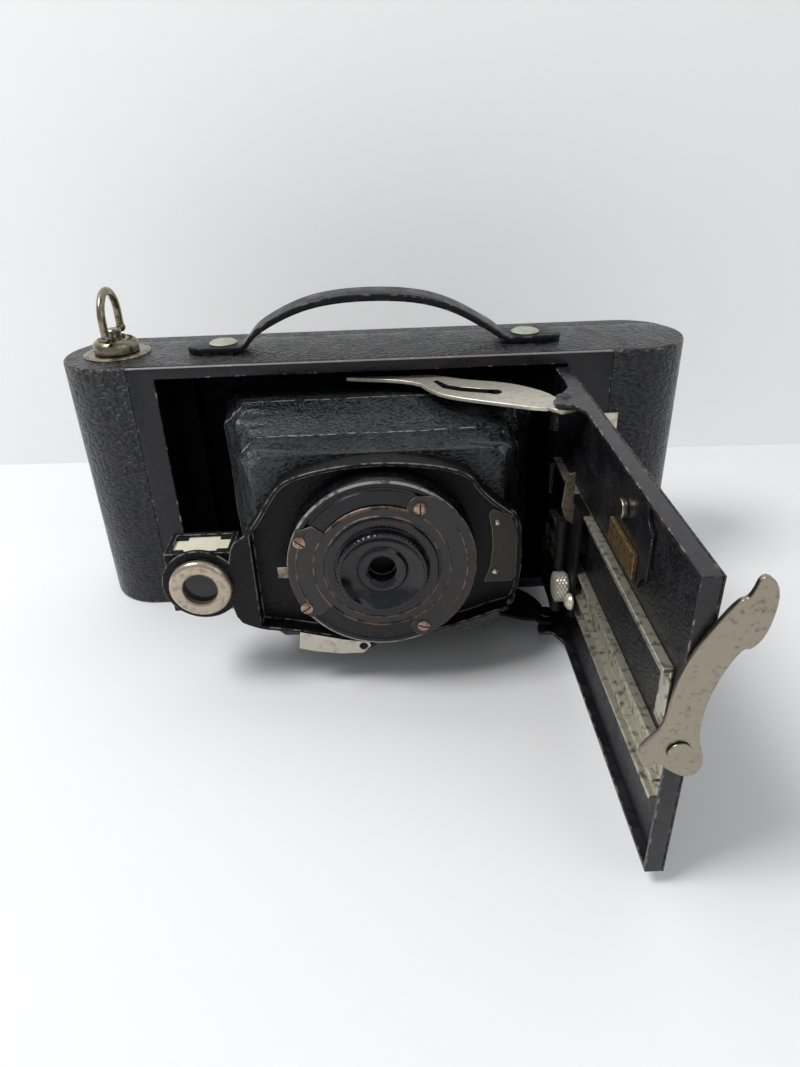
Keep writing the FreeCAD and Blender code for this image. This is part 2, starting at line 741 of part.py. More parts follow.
# ---------------------------------------------------------------- foot of the lens front
FIN_TOP = f"({FLOOR} - [rail_plate] - [rail_fin])"
FOOT_IN = f"({FIN_TOP} - 0.2 - 1.2)"
FOOT_LOW = "([lower_rail_low] - 1.4)"
FOOT_TALL = "([upper_rail_high] - [lower_rail_low] + 2.6)"
carriage = join(
    block(FOOT_IN, out("[foot_out] + [foot_long] / 2"), FOOT_LOW, "1.2", "[foot_long]", FOOT_TALL),
    block(FOOT_IN, out("[foot_out] + [foot_long] / 2"), FOOT_LOW, "[rail_fin] + 1.2", "[foot_long]", "1.2"),
    block(FOOT_IN, out("[foot_out] + [foot_long] / 2"), f"{FOOT_LOW} + {FOOT_TALL} - 1.2", "[rail_fin] + 1.2",
          "[foot_long]", "1.2"),
    name="carriage",
)
subpart(carriage, "focus_carriage")
TUBE_X = f"({FOOT_IN} - [tube_radius])"
TUBE_Y = out("[foot_out] - 3")
POST_LOW = 20
POST_TALL = 32
subpart(
    cut(
        join(rod(TUBE_X, TUBE_Y, f"{POST_LOW}", "[tube_radius]", f"{POST_TALL}"),
             block(TUBE_X, f"{TUBE_Y} - 1.3", FOOT_LOW, "[tube_radius]", "2.6",
                   f"{POST_LOW} + {POST_TALL} - {FOOT_LOW}")),
        block(f"{TUBE_X} - 10", out("80"), "[knob_high] - 4.8", "20", "80", "9.6"),
        name="tube",
    ),
    "front_post",
)
KNOB_X = f"({FOOT_IN} - 0.3 - [knob_thick])"
KNOB_Y = out("[foot_out] + 0.5")
subpart(
    join(
        rod(KNOB_X, KNOB_Y, "[knob_high]", "[knob_radius]", "[knob_thick]", "x"),
        cone(f"{KNOB_X} - 0.5", KNOB_Y, "[knob_high]", "[knob_radius] - 0.8", "[knob_radius]", "0.5", "x"),
        name="knob",
    ),
    "clamp_knob",
)
GRIP = [(-3.8, 8), (-3.2, 15.5), (-2.2, 18.2), (-0.4, 18.5), (-0.4, 9.6), (0, 8.6), (0, 2), (-2.4, 4)]
grip_seat = size("bed_outer") - size("bed_plate") - size("lining") - size("rail_plate") - size("rail_fin") - 1.4
grip_points = [(grip_seat + x, 50 + z) for x, z in GRIP]
grip_front = -size("case_depth") / 2 - size("foot_out") - 0.5
subpart(shaped(plate_outline(grip_points, grip_front, 1.0), "grip"), "focus_grip")

# ---------------------------------------------------------------- braces
def brace(low, name):
    """A long thin brace from the bed's lug into the casing, riveted at its wide end."""
    px = size("brace_right")
    py = -size("case_depth") / 2 - size("brace_out")
    offsets = [(-71.6, 34.4), (-42, 32.5), (-36.5, 33.5), (-26, 26.5), (-11, 21.5), (0.5, 8)]
    returns = [(-2, -4.5), (-19, 4), (-33, 11.5), (-37.5, 17.5), (-42, 28)]
    high = low + size("brace_thick")
    corners = [FreeCAD.Vector(px + x, py + y, low) for x, y in rounded(offsets + returns)]
    face = Part.Face(Part.makePolygon(corners + corners[:1]))
    blade = face.extrude(FreeCAD.Vector(0, 0, high - low))
    eye = Part.makeCylinder(4.6, high - low, FreeCAD.Vector(px, py, low))
    slot_points = [(-30.5, 20.5), (-18, 15.5), (-15, 11), (-31, 16.5)]
    slot_corners = [FreeCAD.Vector(px + x, py + y, low - 1) for x, y in rounded(slot_points)]
    slot = Part.Face(Part.makePolygon(slot_corners + slot_corners[:1])).extrude(FreeCAD.Vector(0, 0, 6))
    hole = Part.makeCylinder(size("rivet_radius") + size("running"), 6, FreeCAD.Vector(px, py, low - 1))
    return shaped(blade.fuse(eye).cut(slot).cut(hole).removeSplitter(), name)


for word, lug_face, way in (("upper", bed_high - size("bed_rim"), -1), ("lower", bed_low + size("bed_rim"), 1)):
    near = lug_face + way * size("brace_gap")
    low = min(near, near + way * size("brace_thick"))
    subpart(brace(low, f"{word}_brace_plate"), f"{word}_brace")
    inner = low if way < 0 else low + size("brace_thick")
    start = min(lug_face, inner + way * 0.3)
    long = abs(lug_face - inner) + 0.3
    stem = rod("[brace_right]", out("[brace_out]"), f"{start}", "[rivet_radius]", f"{long}")
    head_low = inner - 0.3 - 0.8 if way < 0 else inner + 0.3
    head = rod("[brace_right]", out("[brace_out]"), f"{head_low}", "2.6", "0.8")
    washer = rod("[brace_right]", out("[brace_out]"), f"{min(lug_face, near - way * 0.3)}", "2.6",
                 f"{abs(near - way * 0.3 - lug_face)}")
    subpart(join(stem, head, washer, name=f"{word}_rivet"), f"{word}_brace_rivet")

# ---------------------------------------------------------------- leg
LEG = [
    (-8.7, 0.4), (-7.2, -3.3), (-5.6, -5.3), (-4.2, -3.2), (-2.6, -4.2), (-1.2, -5.6), (2.0, -7.7),
    (4.7, -7.2), (5.9, -3.5), (4.1, 2.0), (3.4, 6.2), (4.1, 15.7), (7.9, 25.5), (10.2, 25.2),
    (12.5, 29.3), (13.0, 38.8), (8.9, 42.5), (7.6, 36.8), (5.6, 36.6), (1.8, 30.3), (-1.8, 22.4),
    (-3.2, 15.0), (-3.6, 6.6),
]
leg_x = size("leg_pivot_right")
leg_z = size("leg_pivot_high")
leg_front = -size("case_depth") / 2 - size("bed_reach") - size("leg_gap") - size("leg_thick")
leg_plate = plate_outline(rounded([(leg_x + x, leg_z + z) for x, z in LEG]), leg_front, size("leg_thick"))
leg_hole = Part.makeCylinder(size("rivet_radius") + size("running"), 6,
                             FreeCAD.Vector(leg_x, leg_front - 2, leg_z), FreeCAD.Vector(0, 1, 0))
subpart(shaped(leg_plate.cut(leg_hole), "leg_plate"), "leg")
subpart(
    join(
        rod("[leg_pivot_right]", f"{BED_END} - [leg_gap] - [leg_thick] - 0.2", "[leg_pivot_high]",
            "[rivet_radius]", "[leg_gap] + [leg_thick] + 0.2", "y"),
        rod("[leg_pivot_right]", f"{BED_END} - [leg_gap] - [leg_thick] - 0.7", "[leg_pivot_high]",
            "2.5", "0.5", "y"),
        name="leg_rivet_form",
    ),
    "leg_rivet",
)

# ---------------------------------------------------------------- lens front
face_y = -size("case_depth") / 2 - size("board_out")
axis_z = size("axis_high")
arm_x = -size("finder_left")
arm_z = size("finder_high")
neck_x = size("neck_right")
BOARD = [
    (neck_x, 10.3), (34.1, 16.1), (29.3, 20.6), (26.6, 24.8), (23.4, 27.2), (14.8, 29.6), (0.5, 31.0),
    (-14.0, 29.8), (-24.3, 27.2), (-28.4, 24.6), (-32.1, 19.4), (-35.5, 13.8), (-39.0, 9.4), (-44.6, 6.2),
    (-46.5, -19.2), (-38.5, -23.6), (-31.0, -24.6), (-24.0, -26.2), (-12.0, -29.0), (-10.4, -32.2),
    (-7.0, -33.6), (-3.6, -32.2), (-2.0, -29.6), (12.0, -28.4), (25.1, -24.4), (34.0, -21.0),
    (neck_x, -18.8),
]
board_points = rounded([(x, axis_z + z) for x, z in BOARD])


def board_form(grow, y_front, thick):
    """The board's outline with the round finder arm, grown or shrunk, as a solid."""
    corners = [FreeCAD.Vector(x, y_front, z) for x, z in board_points]
    face = Part.Face(Part.makePolygon(corners + corners[:1]))
    arm = Part.Face(Part.Wire(Part.makeCircle(
        size("arm_radius"), FreeCAD.Vector(arm_x, y_front, arm_z), FreeCAD.Vector(0, 1, 0))))
    flat = face.fuse(arm).removeSplitter()
    if grow:
        flat = Part.Face(flat.Faces[0].OuterWire.makeOffset2D(grow))
    return flat.extrude(FreeCAD.Vector(0, thick, 0))


def across(x, z, radius, start, length):
    """A cylinder along Y from a depth."""
    return Part.makeCylinder(radius, length, FreeCAD.Vector(x, start, z), FreeCAD.Vector(0, 1, 0))


def lens_board():
    """The pressed front: a flat plate with a turned-up lip, stepped forward round the finder."""
    lip = size("board_lip")
    thin = size("lip_wall")
    deep = size("board_plate")
    diagonal = (size("finder_wide") ** 2 + size("finder_tall") ** 2) ** 0.5
    turning = arm_x + diagonal / 2 + 0.6
    reach = size("case_length") / 2
    tall = size("case_height")
    corner_at = FreeCAD.Vector(turning - reach, face_y - 2 * lip, 0)
    step = Part.makeBox(reach, 4 * lip, tall, corner_at)
    around = Part.makeBox(reach + thin, 4 * lip, tall, corner_at)
    plate = board_form(0, face_y, deep).cut(step)
    raised = board_form(0, face_y - lip, deep).common(around)
    wall = board_form(0, face_y - lip, lip + deep).common(around).cut(step)
    rim = board_form(0, face_y - lip, lip + 0.2).cut(board_form(-thin, face_y - lip - 1, lip + 3)).cut(step)
    lowered = [
        Part.makeBox(20, lip / 2, tall, FreeCAD.Vector(neck_x - 4.2, face_y - lip - 0.1, 0)),
        Part.makeBox(20, lip * 0.7, tall, FreeCAD.Vector(neck_x - 2.2, face_y - lip - 0.1, 0)),
        Part.makeBox(20, lip + 2, 26, FreeCAD.Vector(neck_x - 2, face_y - lip - 1, axis_z - 17.2)),
    ]
    rim = rim.cut(lowered[0].fuse(lowered[1:]))
    holes = [
        across(0, axis_z, size("lens_radius") - 1, face_y - 5, 20),
        across(arm_x, arm_z, size("finder_ring") - 0.3, face_y - 20, 40),
    ]
    stud = across(-size("release_left"), axis_z - size("release_drop"), size("release_stud"),
                  face_y - size("release_back") - 0.4, size("release_back") + 0.8)
    return plate.fuse([raised, wall, rim]).cut(holes[0].fuse(holes[1])).fuse(stud).removeSplitter()


subpart(shaped(lens_board(), "board"), "lens_board")

neck_plate = [(neck_x - 10.5, 11), (neck_x - 9.2, 12.6), (neck_x - 4, 10.4), (neck_x - 1.7, 3.5),
              (neck_x - 1.7, -10.8), (neck_x - 3, -12.4), (neck_x - 11.4, -12.4), (neck_x - 9.6, -7),
              (neck_x - 9, 0), (neck_x - 9.4, 6)]
subpart(
    shaped(plate_outline([(x, axis_z + z) for x, z in neck_plate], face_y - 0.5, 0.5), "neck_trim"),
    "neck_plate",
)

BOARD_FACE = out("[board_out]")
CELL_DEEP = "3.8"
cell_ring = cut(
    rod("0", f"{BOARD_FACE} - {CELL_DEEP}", "[axis_high]", "[lens_radius] + 2.4", CELL_DEEP, "y"),
    rod("0", f"{BOARD_FACE} - {CELL_DEEP} - 1", "[axis_high]", "[lens_radius] + 0.02", f"{CELL_DEEP} + 2", "y"),
    name="cell",
)
subpart(cell_ring, "lens_cell")


def meniscus():
    """The taking lens: a thin glass shell, hollow towards the front."""
    radius = size("lens_radius")
    rim = face_y - 0.9
    disc = across(0, axis_z, radius, rim - 1.9, 1.9)
    ball = Part.makeSphere(32, FreeCAD.Vector(0, rim - 1.9 - 30.9, axis_z))
    return disc.cut(ball)


subpart(shaped(meniscus(), "taking_lens_glass"), "taking_lens")

HOUSING_FRONT = f"{BOARD_FACE} - [shutter_deep]"
housing = cut(
    rod("0", HOUSING_FRONT, "[axis_high]", "[shutter_radius]", "[shutter_deep]", "y"),
    rod("0", f"{HOUSING_FRONT} + [shutter_wall]", "[axis_high]", "[shutter_radius] - [shutter_wall]",
        "[shutter_deep]", "y"),
    rod("0", f"{HOUSING_FRONT} - 1", "[axis_high]", "[aperture] + 2.4", "5", "y"),
    block("-[shutter_radius] - 2", f"{HOUSING_FRONT} + [shutter_wall] + 0.9", "[axis_high] - 8.5", "8", "1.4",
          "14.5"),
)
blade_pin = rod("0", f"{HOUSING_FRONT} + 1", "[axis_high] + 16", "0.8", "6.6", "y")
subpart(join(housing, blade_pin, name="housing"), "shutter_housing")


def face_plate():
    """The shutter's face: a disc scooped at top and bottom between four screw ears."""
    y = face_y - size("shutter_deep") - size("face_plate")
    thick = size("face_plate")
    rim = size("shutter_radius") - 0.5
    centre_disc = across(0, axis_z, rim * 0.71, y, thick)
    wings = [
        [(0, 0), (12.5, 22.5), (rim, 21), (rim, -24), (12.5, -23.5)],
        [(0, 0), (-19, 14.5), (-rim, 12), (-rim, -14.5), (-19, -15.5)],
    ]
    solids = [plate_outline([(x, axis_z + z) for x, z in wing], y, thick) for wing in wings]
    ears = [across(x, axis_z + z, 3.7, y, thick) for x, z in PLATE_SCREWS]
    whole = centre_disc.fuse(solids + ears).removeSplitter()
    limit = across(0, axis_z, rim, y - 1, thick + 2)
    return whole.common(limit).cut(across(0, axis_z, size("hood_radius") - 2, y - 1, thick + 2))


PLATE_SCREWS = [(-22.9, 9.6), (11.2, 18.8), (-22.7, -12.6), (11.6, -20.6)]
subpart(shaped(face_plate(), "face"), "shutter_face_plate")
screws = [
    join(
        rod(f"{x}", f"{HOUSING_FRONT} - [face_plate] - 0.5", f"[axis_high] + {z}".replace("+ -", "- "), "1.9",
            "0.5", "y"),
        cone(f"{x}", f"{HOUSING_FRONT} - [face_plate] - 0.9", f"[axis_high] + {z}".replace("+ -", "- "),
             "1.3", "1.9", "0.4", "y"),
    )
    for x, z in PLATE_SCREWS
]
subpart(group(*screws, name="screws"), "face_plate_screws")

HOOD_BACK = f"{HOUSING_FRONT} - [face_plate]"
hood = cut(
    join(
        rod("0", f"{HOOD_BACK} - [hood_deep]", "[axis_high]", "[hood_radius]", "[hood_deep]", "y"),
        rod("0", f"{HOOD_BACK} - 0.6", "[axis_high]", "[hood_radius] + 2.8", "0.6", "y"),
        rod("0", f"{HOOD_BACK} - 0.1", "[axis_high]", "[hood_radius] - 2.1", "[face_plate] + 0.1", "y"),
    ),
    cone("0", f"{HOOD_BACK} - [hood_deep] - 0.01", "[axis_high]", "[hood_radius] - 1.4", "[aperture] + 1.6",
         "[hood_deep] - 0.6", "y"),
    rod("0", f"{HOOD_BACK} - 2", "[axis_high]", "[aperture]", "10", "y"),
    name="hood",
)
subpart(hood, "lens_hood")

stop_y = f"{HOUSING_FRONT} + [shutter_wall] + 1.3"
stop_disc = cut(
    join(
        rod("0", stop_y, "[axis_high]", "11", "0.6", "y"),
        block("-[shutter_radius] - 5.6", stop_y, "[axis_high] - 4.2", "[shutter_radius] - 3", "0.6", "3.6"),
    ),
    rod("0", f"{stop_y} - 1", "[axis_high]", "[aperture]", "5", "y"),
    name="stop",
)
subpart(stop_disc, "aperture_lever")


def blade():
    """The thin shutter blade that swings on a pin above the aperture."""
    y = face_y - 4.4
    disc = across(0, axis_z, size("aperture") + 2.2, y, 0.4)
    arm = Part.makeBox(4.4, 0.4, 17, FreeCAD.Vector(-2.2, y, axis_z))
    eye = across(0, axis_z + 16, 3, y, 0.4)
    return disc.fuse([arm, eye]).cut(across(0, axis_z + 16, 0.85, y - 1, 3)).removeSplitter()


subpart(shaped(blade(), "blade"), "shutter_blade")

RELEASE = [(-19.2, 6.4), (-20, 0.2), (-15.4, -1.2), (-7, -2.6), (0, -2.6), (2.4, 0), (1.8, 1.5), (-6, 2.9)]
release_x = -size("release_left")
release_z = axis_z - size("release_drop")
release_points = [(release_x + x, release_z + z) for x, z in RELEASE]
release_front = face_y - size("release_back")
release_plate = plate_outline(release_points, release_front, 1.0)
release_hole = across(release_x, release_z, size("release_stud") + size("running"), release_front - 1, 3)
release_plate = release_plate.cut(release_hole)
subpart(shaped(release_plate, "release"), "release_lever")

# ---------------------------------------------------------------- bellows
def bellows():
    """The folded light-tight tube from the film gate to the board."""
    folds = int(size("bellows_folds"))
    back = -size("case_depth") / 2 + size("chamber_depth") - 0.3
    front = face_y + size("board_plate") + 0.3
    stations = 2 * folds

    def ring(step, inset):
        share = step / stations
        wide = size("bellows_back_wide") * (1 - share) + size("bellows_front_wide") * share
        tall = size("bellows_back_tall") * (1 - share) + size("bellows_front_tall") * share
        fold = 0 if step % 2 == 0 else size("fold_deep")
        half_x = wide / 2 - fold - inset
        half_z = tall / 2 - fold - inset
        corner = 3.0
        y = back + (front - back) * share
        points = []
        for sx, sz in ((1, 1), (-1, 1), (-1, -1), (1, -1)):
            pair = [(sx * half_x, sz * (half_z - corner)), (sx * (half_x - corner), sz * half_z)]
            points += pair if sx * sz > 0 else pair[::-1]
        corners = [FreeCAD.Vector(x, y, axis_z + z) for x, z in points]
        return Part.makePolygon(corners + corners[:1])

    outer = Part.makeLoft([ring(step, 0) for step in range(stations + 1)], True, True)
    inner = Part.makeLoft([ring(step, size("bellows_skin")) for step in range(stations + 1)], True, True)
    return outer.cut(inner)


subpart(shaped(bellows(), "bellows_form"), "bellows")

# ---------------------------------------------------------------- finder
FX = "(-[finder_left])"
FZ = "[finder_high]"
BOX_FRONT = f"({BOARD_FACE} - [board_lip] + [board_plate] + 0.3)"
RING_BACK = f"({BOX_FRONT} - [board_plate] - 0.9)"
inside = [
    block(f"{FX} - [finder_wide] / 2 + [finder_wall]", f"{BOX_FRONT} + [finder_wall]",
          f"{FZ} - [finder_tall] / 2 + [finder_wall]", "[finder_wide] - 2 * [finder_wall]",
          "[finder_deep] - 2 * [finder_wall]", "[finder_tall] - 2 * [finder_wall]"),
    block(f"{FX} - [finder_wide] / 2 + 1.7", f"{BOX_FRONT} + 1.6", f"{FZ}", "[finder_wide] - 3.4",
          "[finder_deep] - 3.2", "[finder_tall]"),
    rod(FX, f"{BOX_FRONT} - 12", FZ, "[finder_lens] + 0.6", "14", "y"),
]
finder_case = cut(
    join(
        block(f"{FX} - [finder_wide] / 2", BOX_FRONT, f"{FZ} - [finder_tall] / 2", "[finder_wide]",
              "[finder_deep]", "[finder_tall]"),
        rod(FX, RING_BACK, FZ, "[finder_ring] - 0.6", "[board_plate] + 1.3", "y"),
    ),
    *inside,
    name="finder_case_form",
)
subpart(finder_case, "finder_case")
subpart(
    cut(
        join(rod(FX, f"{RING_BACK} - 1.4", FZ, "[finder_ring]", "1.4", "y"),
             cone(FX, f"{RING_BACK} - 2.2", FZ, "[finder_ring] - 1.2", "[finder_ring]", "0.8", "y")),
        rod(FX, f"{RING_BACK} - 4", FZ, "[finder_lens]", "8", "y"),
        name="finder_ring_form",
    ),
    "finder_ring",
)
subpart(rod(FX, f"{RING_BACK} + 0.2", FZ, "[finder_lens] + 0.55", "1.6", "y", "finder_glass"), "finder_lens")
subpart(
    block(f"{FX} - [finder_wide] / 2 + [finder_wall] + 0.05", f"{BOX_FRONT} + [finder_wall] + 0.05",
          f"{FZ} + [finder_tall] / 2 - [finder_wall] - 1.05", "[finder_wide] - 2 * [finder_wall] - 0.1",
          "[finder_deep] - 2 * [finder_wall] - 0.1", "1", "ground_glass"),
    "finder_window",
)
mirror = doc.addObject("Part::Box", "mirror")
mirror.Placement.Rotation = FreeCAD.Rotation(FreeCAD.Vector(1, 0, 0), 45)
bind(mirror, px=f"{FX} - [finder_wide] / 2 + [finder_wall] + 0.1", py=f"{BOX_FRONT} + [finder_wall] + 2.4",
     pz=f"{FZ} - [finder_tall] / 2 + [finder_wall] + 0.6",
     Length="[finder_wide] - 2 * [finder_wall] - 0.2", Width="[finder_deep] - 2", Height="0.8")
subpart(mirror, "finder_mirror")

# ---------------------------------------------------------------- write the sub-parts
doc.recompute()
for thing in doc.Objects:
    if "Invalid" in thing.State or "Error" in thing.State:
        raise RuntimeError(f"{thing.Name} ({thing.Label}) failed: {thing.State}")
for thing in SUBPARTS:
    if thing.Shape.isNull() or not thing.Shape.isValid() or not thing.Shape.Solids:
        raise RuntimeError(f"{thing.Label} has no valid shape")

os.makedirs("parts", exist_ok=True)
for thing in SUBPARTS:
    thing.Shape.exportStep(os.path.join("parts", thing.Label + ".step"))
    box = thing.Shape.BoundBox
    print(f"{thing.Label:22s} solids {len(thing.Shape.Solids)}  volume {thing.Shape.Volume:9.1f}"
          f"  x {box.XMin:7.1f} {box.XMax:7.1f}  y {box.YMin:7.1f} {box.YMax:7.1f}"
          f"  z {box.ZMin:6.1f} {box.ZMax:6.1f}")
print("sub-parts", len(SUBPARTS))
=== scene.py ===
# %% [markdown]
# # A folding roll-film camera
# The camera stands open: the bed has swung out to the right, the front has come forward on its
# bellows, and the key, strap and finder are where a hand last left them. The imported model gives
# every moving body and its place. Each cell here dresses one piece of it.
import json
import math

import bmesh
import bpy
from mathutils import Matrix, Vector, noise


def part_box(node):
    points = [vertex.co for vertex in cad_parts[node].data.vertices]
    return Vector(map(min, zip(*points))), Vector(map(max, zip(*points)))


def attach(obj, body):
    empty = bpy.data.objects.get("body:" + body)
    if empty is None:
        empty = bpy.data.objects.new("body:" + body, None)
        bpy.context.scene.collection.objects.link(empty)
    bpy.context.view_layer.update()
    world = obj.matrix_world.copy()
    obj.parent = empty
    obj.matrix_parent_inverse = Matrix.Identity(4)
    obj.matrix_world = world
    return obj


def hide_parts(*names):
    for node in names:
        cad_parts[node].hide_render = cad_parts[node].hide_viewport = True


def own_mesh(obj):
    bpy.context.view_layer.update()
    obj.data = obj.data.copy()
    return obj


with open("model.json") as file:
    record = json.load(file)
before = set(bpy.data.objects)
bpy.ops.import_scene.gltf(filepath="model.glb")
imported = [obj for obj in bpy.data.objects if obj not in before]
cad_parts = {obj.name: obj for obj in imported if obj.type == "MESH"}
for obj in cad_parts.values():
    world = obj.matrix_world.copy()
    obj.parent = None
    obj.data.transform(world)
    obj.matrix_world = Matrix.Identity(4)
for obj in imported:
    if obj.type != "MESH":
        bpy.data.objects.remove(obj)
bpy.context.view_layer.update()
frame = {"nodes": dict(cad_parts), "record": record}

MM = 0.001
FULL = 2 * math.pi
BODIES = frame["record"]["behaviour"]["bodies"]
NODE_BODY = {node: body for body, nodes in BODIES.items() for node in nodes}


def corner(node, which):
    """The lowest (0) or highest (1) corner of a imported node, in millimetres."""
    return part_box(node)[which] / MM


def middle(node):
    """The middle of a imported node, in millimetres."""
    return (corner(node, 0) + corner(node, 1)) / 2


# %% [markdown]
# ## Finishes
# Everything on this camera is one of a few materials: pebbled leatherette, black enamel that has
# rubbed through at the edges, nickel plate gone dull, oxidised brass, and thin bellows leather.
# One function turns a hex colour to linear light. One adds a node. One builds a finish out of a
# base colour, a second colour that mottles it, a grain in real millimetres with painted shade in
# its furrows, and a rubbed edge that on a few rims is a painted highlight.

# %% Colour and node helpers


def linear(code, alpha=1.0):
    """A hex colour as the linear numbers that a shader wants."""
    parts = [int(code[i:i + 2], 16) / 255 for i in (1, 3, 5)]
    light = [c / 12.92 if c <= 0.04045 else ((c + 0.055) / 1.055) ** 2.4 for c in parts]
    return (*light, alpha)


def add(tree, kind, links=None, values=None, **settings):
    """Add a node with its settings, its plain numbers and the sockets that feed it."""
    node = tree.nodes.new("ShaderNode" + kind)
    for key, value in settings.items():
        setattr(node, key, value)
    for key, value in (values or {}).items():
        node.inputs[key].default_value = value
    for key, socket in (links or {}).items():
        tree.links.new(socket, node.inputs[key])
    return node


def calc(tree, operation, *terms, clamped=False):
    """One step of arithmetic; each term is a plain number or a socket."""
    node = add(tree, "Math", operation=operation, use_clamp=clamped)
    for place, term in enumerate(terms):
        if isinstance(term, (int, float)):
            node.inputs[place].default_value = term
        else:
            tree.links.new(term, node.inputs[place])
    return node.outputs[0]


def blend_colours(tree, mask, under, over):
    """Two colours mixed by a mask; each is a hex colour or a socket."""
    mix = add(tree, "Mix", links={0: mask}, data_type="RGBA")
    for place, colour in ((6, under), (7, over)):
        if isinstance(colour, str):
            mix.inputs[place].default_value = linear(colour)
        else:
            tree.links.new(colour, mix.inputs[place])
    return mix.outputs[2]


def patches(tree, place, size, low, high, detail=4.0):
    """A soft mask of patches of a size in millimetres; low and high set how much they cover."""
    cloud = add(tree, "TexNoise", links={"Vector": place},
                values={"Scale": 1 / (size * MM), "Detail": detail})
    return add(tree, "MapRange", links={"Value": cloud.outputs["Fac"]},
               values={"From Min": low, "From Max": high}).outputs["Result"]


# Grain is longer along the camera than across it. Pebbles are bent by this share of their size.
GRAIN_DRAWN = (0.7, 1.0, 1.15)
PEBBLE_BEND = 0.9


def grain_field(tree, place, kind, size):
    """A height field, drawn out a little along the camera: pebbles or cloudy grain."""
    scale = 1 / (size * MM)
    place = add(tree, "VectorMath", links={0: place}, values={1: GRAIN_DRAWN},
                operation="MULTIPLY").outputs[0]
    cloud = add(tree, "TexNoise", links={"Vector": place},
                values={"Scale": scale, "Detail": 6.0, "Roughness": 0.65})
    if kind != "pebble":
        return cloud.outputs["Fac"]
    bend = add(tree, "VectorMath", links={0: cloud.outputs["Color"]},
               values={1: (size * MM * PEBBLE_BEND,) * 3}, operation="MULTIPLY")
    bent = add(tree, "VectorMath", links={0: place, 1: bend.outputs[0]}, operation="ADD")
    cells = add(tree, "TexVoronoi", links={"Vector": bent.outputs[0]}, values={"Scale": scale},
                feature="SMOOTH_F1")
    return calc(tree, "SUBTRACT", 1.0, cells.outputs["Distance"])


# Patches of a plain finish, which change its roughness alone: size in mm, low and high.
PLAIN_PATCHES = (6.0, 0.4, 0.7)
# The heights of the grain field at which the painted shade of the furrows ends and the pebble's
# colour is reached.
FURROW_TOP, PEBBLE_TOP = 0.42, 0.68
# Wear shows in patches of this size in mm.
WEAR_SIZE = 2.2


def finish(name, colour, rough, metal=0.0, mottle=None, grain=None, rubbed=None, coat=0.0,
           rough_spread=0.12, furrow_shade=None, shine=0.5):
    """A material. mottle is (colour, mm, low, high); grain is (kind, mm, height in mm);
    rubbed is (colour, how much of each edge is bare), where the bare colour is rubbed plating on
    most finishes and a painted highlight on marked rims; the furrow colour between the pebbles is
    painted shade. A face marked 1 wears in patches, a face marked 2 is bare all over."""
    material = bpy.data.materials.new(name)
    material.use_nodes = True
    tree = material.node_tree
    shader = tree.nodes["Principled BSDF"]
    place = add(tree, "TexCoord").outputs["Object"]
    shade = colour
    mask = patches(tree, place, *(mottle[1:] if mottle else PLAIN_PATCHES))
    if mottle:
        shade = blend_colours(tree, mask, shade, mottle[0])
    if grain:
        kind, size, height = grain
        field = grain_field(tree, place, kind, size)
        bump = add(tree, "Bump", links={"Height": field},
                   values={"Strength": 0.9, "Distance": height * MM})
        tree.links.new(bump.outputs["Normal"], shader.inputs["Normal"])
    # The furrows of a pebbled grain are darkened towards the furrow colour: painted shade.
    if furrow_shade:
        tops = add(tree, "MapRange", links={"Value": field},
                   values={"From Min": FURROW_TOP, "From Max": PEBBLE_TOP})
        shade = blend_colours(tree, tops.outputs["Result"], furrow_shade, shade)
    # The bare colour is rubbed plating on most finishes; on the frame's top strip, the drum's rim
    # and the crackle's lips it is a painted highlight.
    if rubbed:
        bare_and_highlight_colour, share = rubbed
        edge = add(tree, "Attribute", attribute_name="edge").outputs["Fac"]
        worn = patches(tree, place, WEAR_SIZE, 0.62 - share * 0.3, 0.68 - share * 0.2, 6.0)
        both = calc(tree, "ADD", edge, worn)
        bare = calc(tree, "SUBTRACT", both, 1.0, clamped=True)
        shade = blend_colours(tree, bare, shade, bare_and_highlight_colour)
    if isinstance(shade, str):
        shader.inputs["Base Color"].default_value = linear(shade)
    else:
        tree.links.new(shade, shader.inputs["Base Color"])
    roughness = add(tree, "MapRange", links={"Value": mask},
                    values={"To Min": max(rough - rough_spread, 0.05),
                            "To Max": min(rough + rough_spread, 1.0)})
    tree.links.new(roughness.outputs["Result"], shader.inputs["Roughness"])
    shader.inputs["Metallic"].default_value = metal
    shader.inputs["Coat Weight"].default_value = coat
    shader.inputs["Specular IOR Level"].default_value = shine
    return material


# %% Leathers
# Leatherette on the casing: pebbles about 1.1 mm across, with painted shade in the furrows between
# them.
casing_leather = finish(
    "pebbled leatherette", "#1e1e21", 0.3, mottle=("#28292c", 7.0, 0.35, 0.75),
    grain=("pebble", 1.1, 1.1), rubbed=("#6a5648", 0.3), furrow_shade="#060608", shine=0.4)
# The same cloth inside the bed, finer and darker, because it was never handled; its furrows carry
# painted shade too.
lining_leather = finish(
    "lining cloth", "#141417", 0.42, mottle=("#1d1d21", 8.0, 0.4, 0.7),
    grain=("pebble", 0.8, 0.3), rubbed=("#55504c", 0.1), furrow_shade="#060608", shine=0.3)
# Smooth bridle leather, thicker than the covering and without its pebbles.
strap_leather = finish(
    "bridle leather", "#0f0f11", 0.4, mottle=("#19191c", 7.0, 0.4, 0.75),
    grain=("noise", 0.8, 0.14), rubbed=("#55524f", 0.3), shine=0.2)
# Bellows leather: thin skin with a grain of 0.7 mm, grey where the folds have rubbed, with painted
# shade in its furrows.
bellows_leather = finish(
    "bellows skiver", "#2b2d31", 0.32, mottle=("#35353a", 9.0, 0.4, 0.7),
    grain=("pebble", 0.7, 0.34), rubbed=("#85878a", 0.7), furrow_shade="#0e0f12")

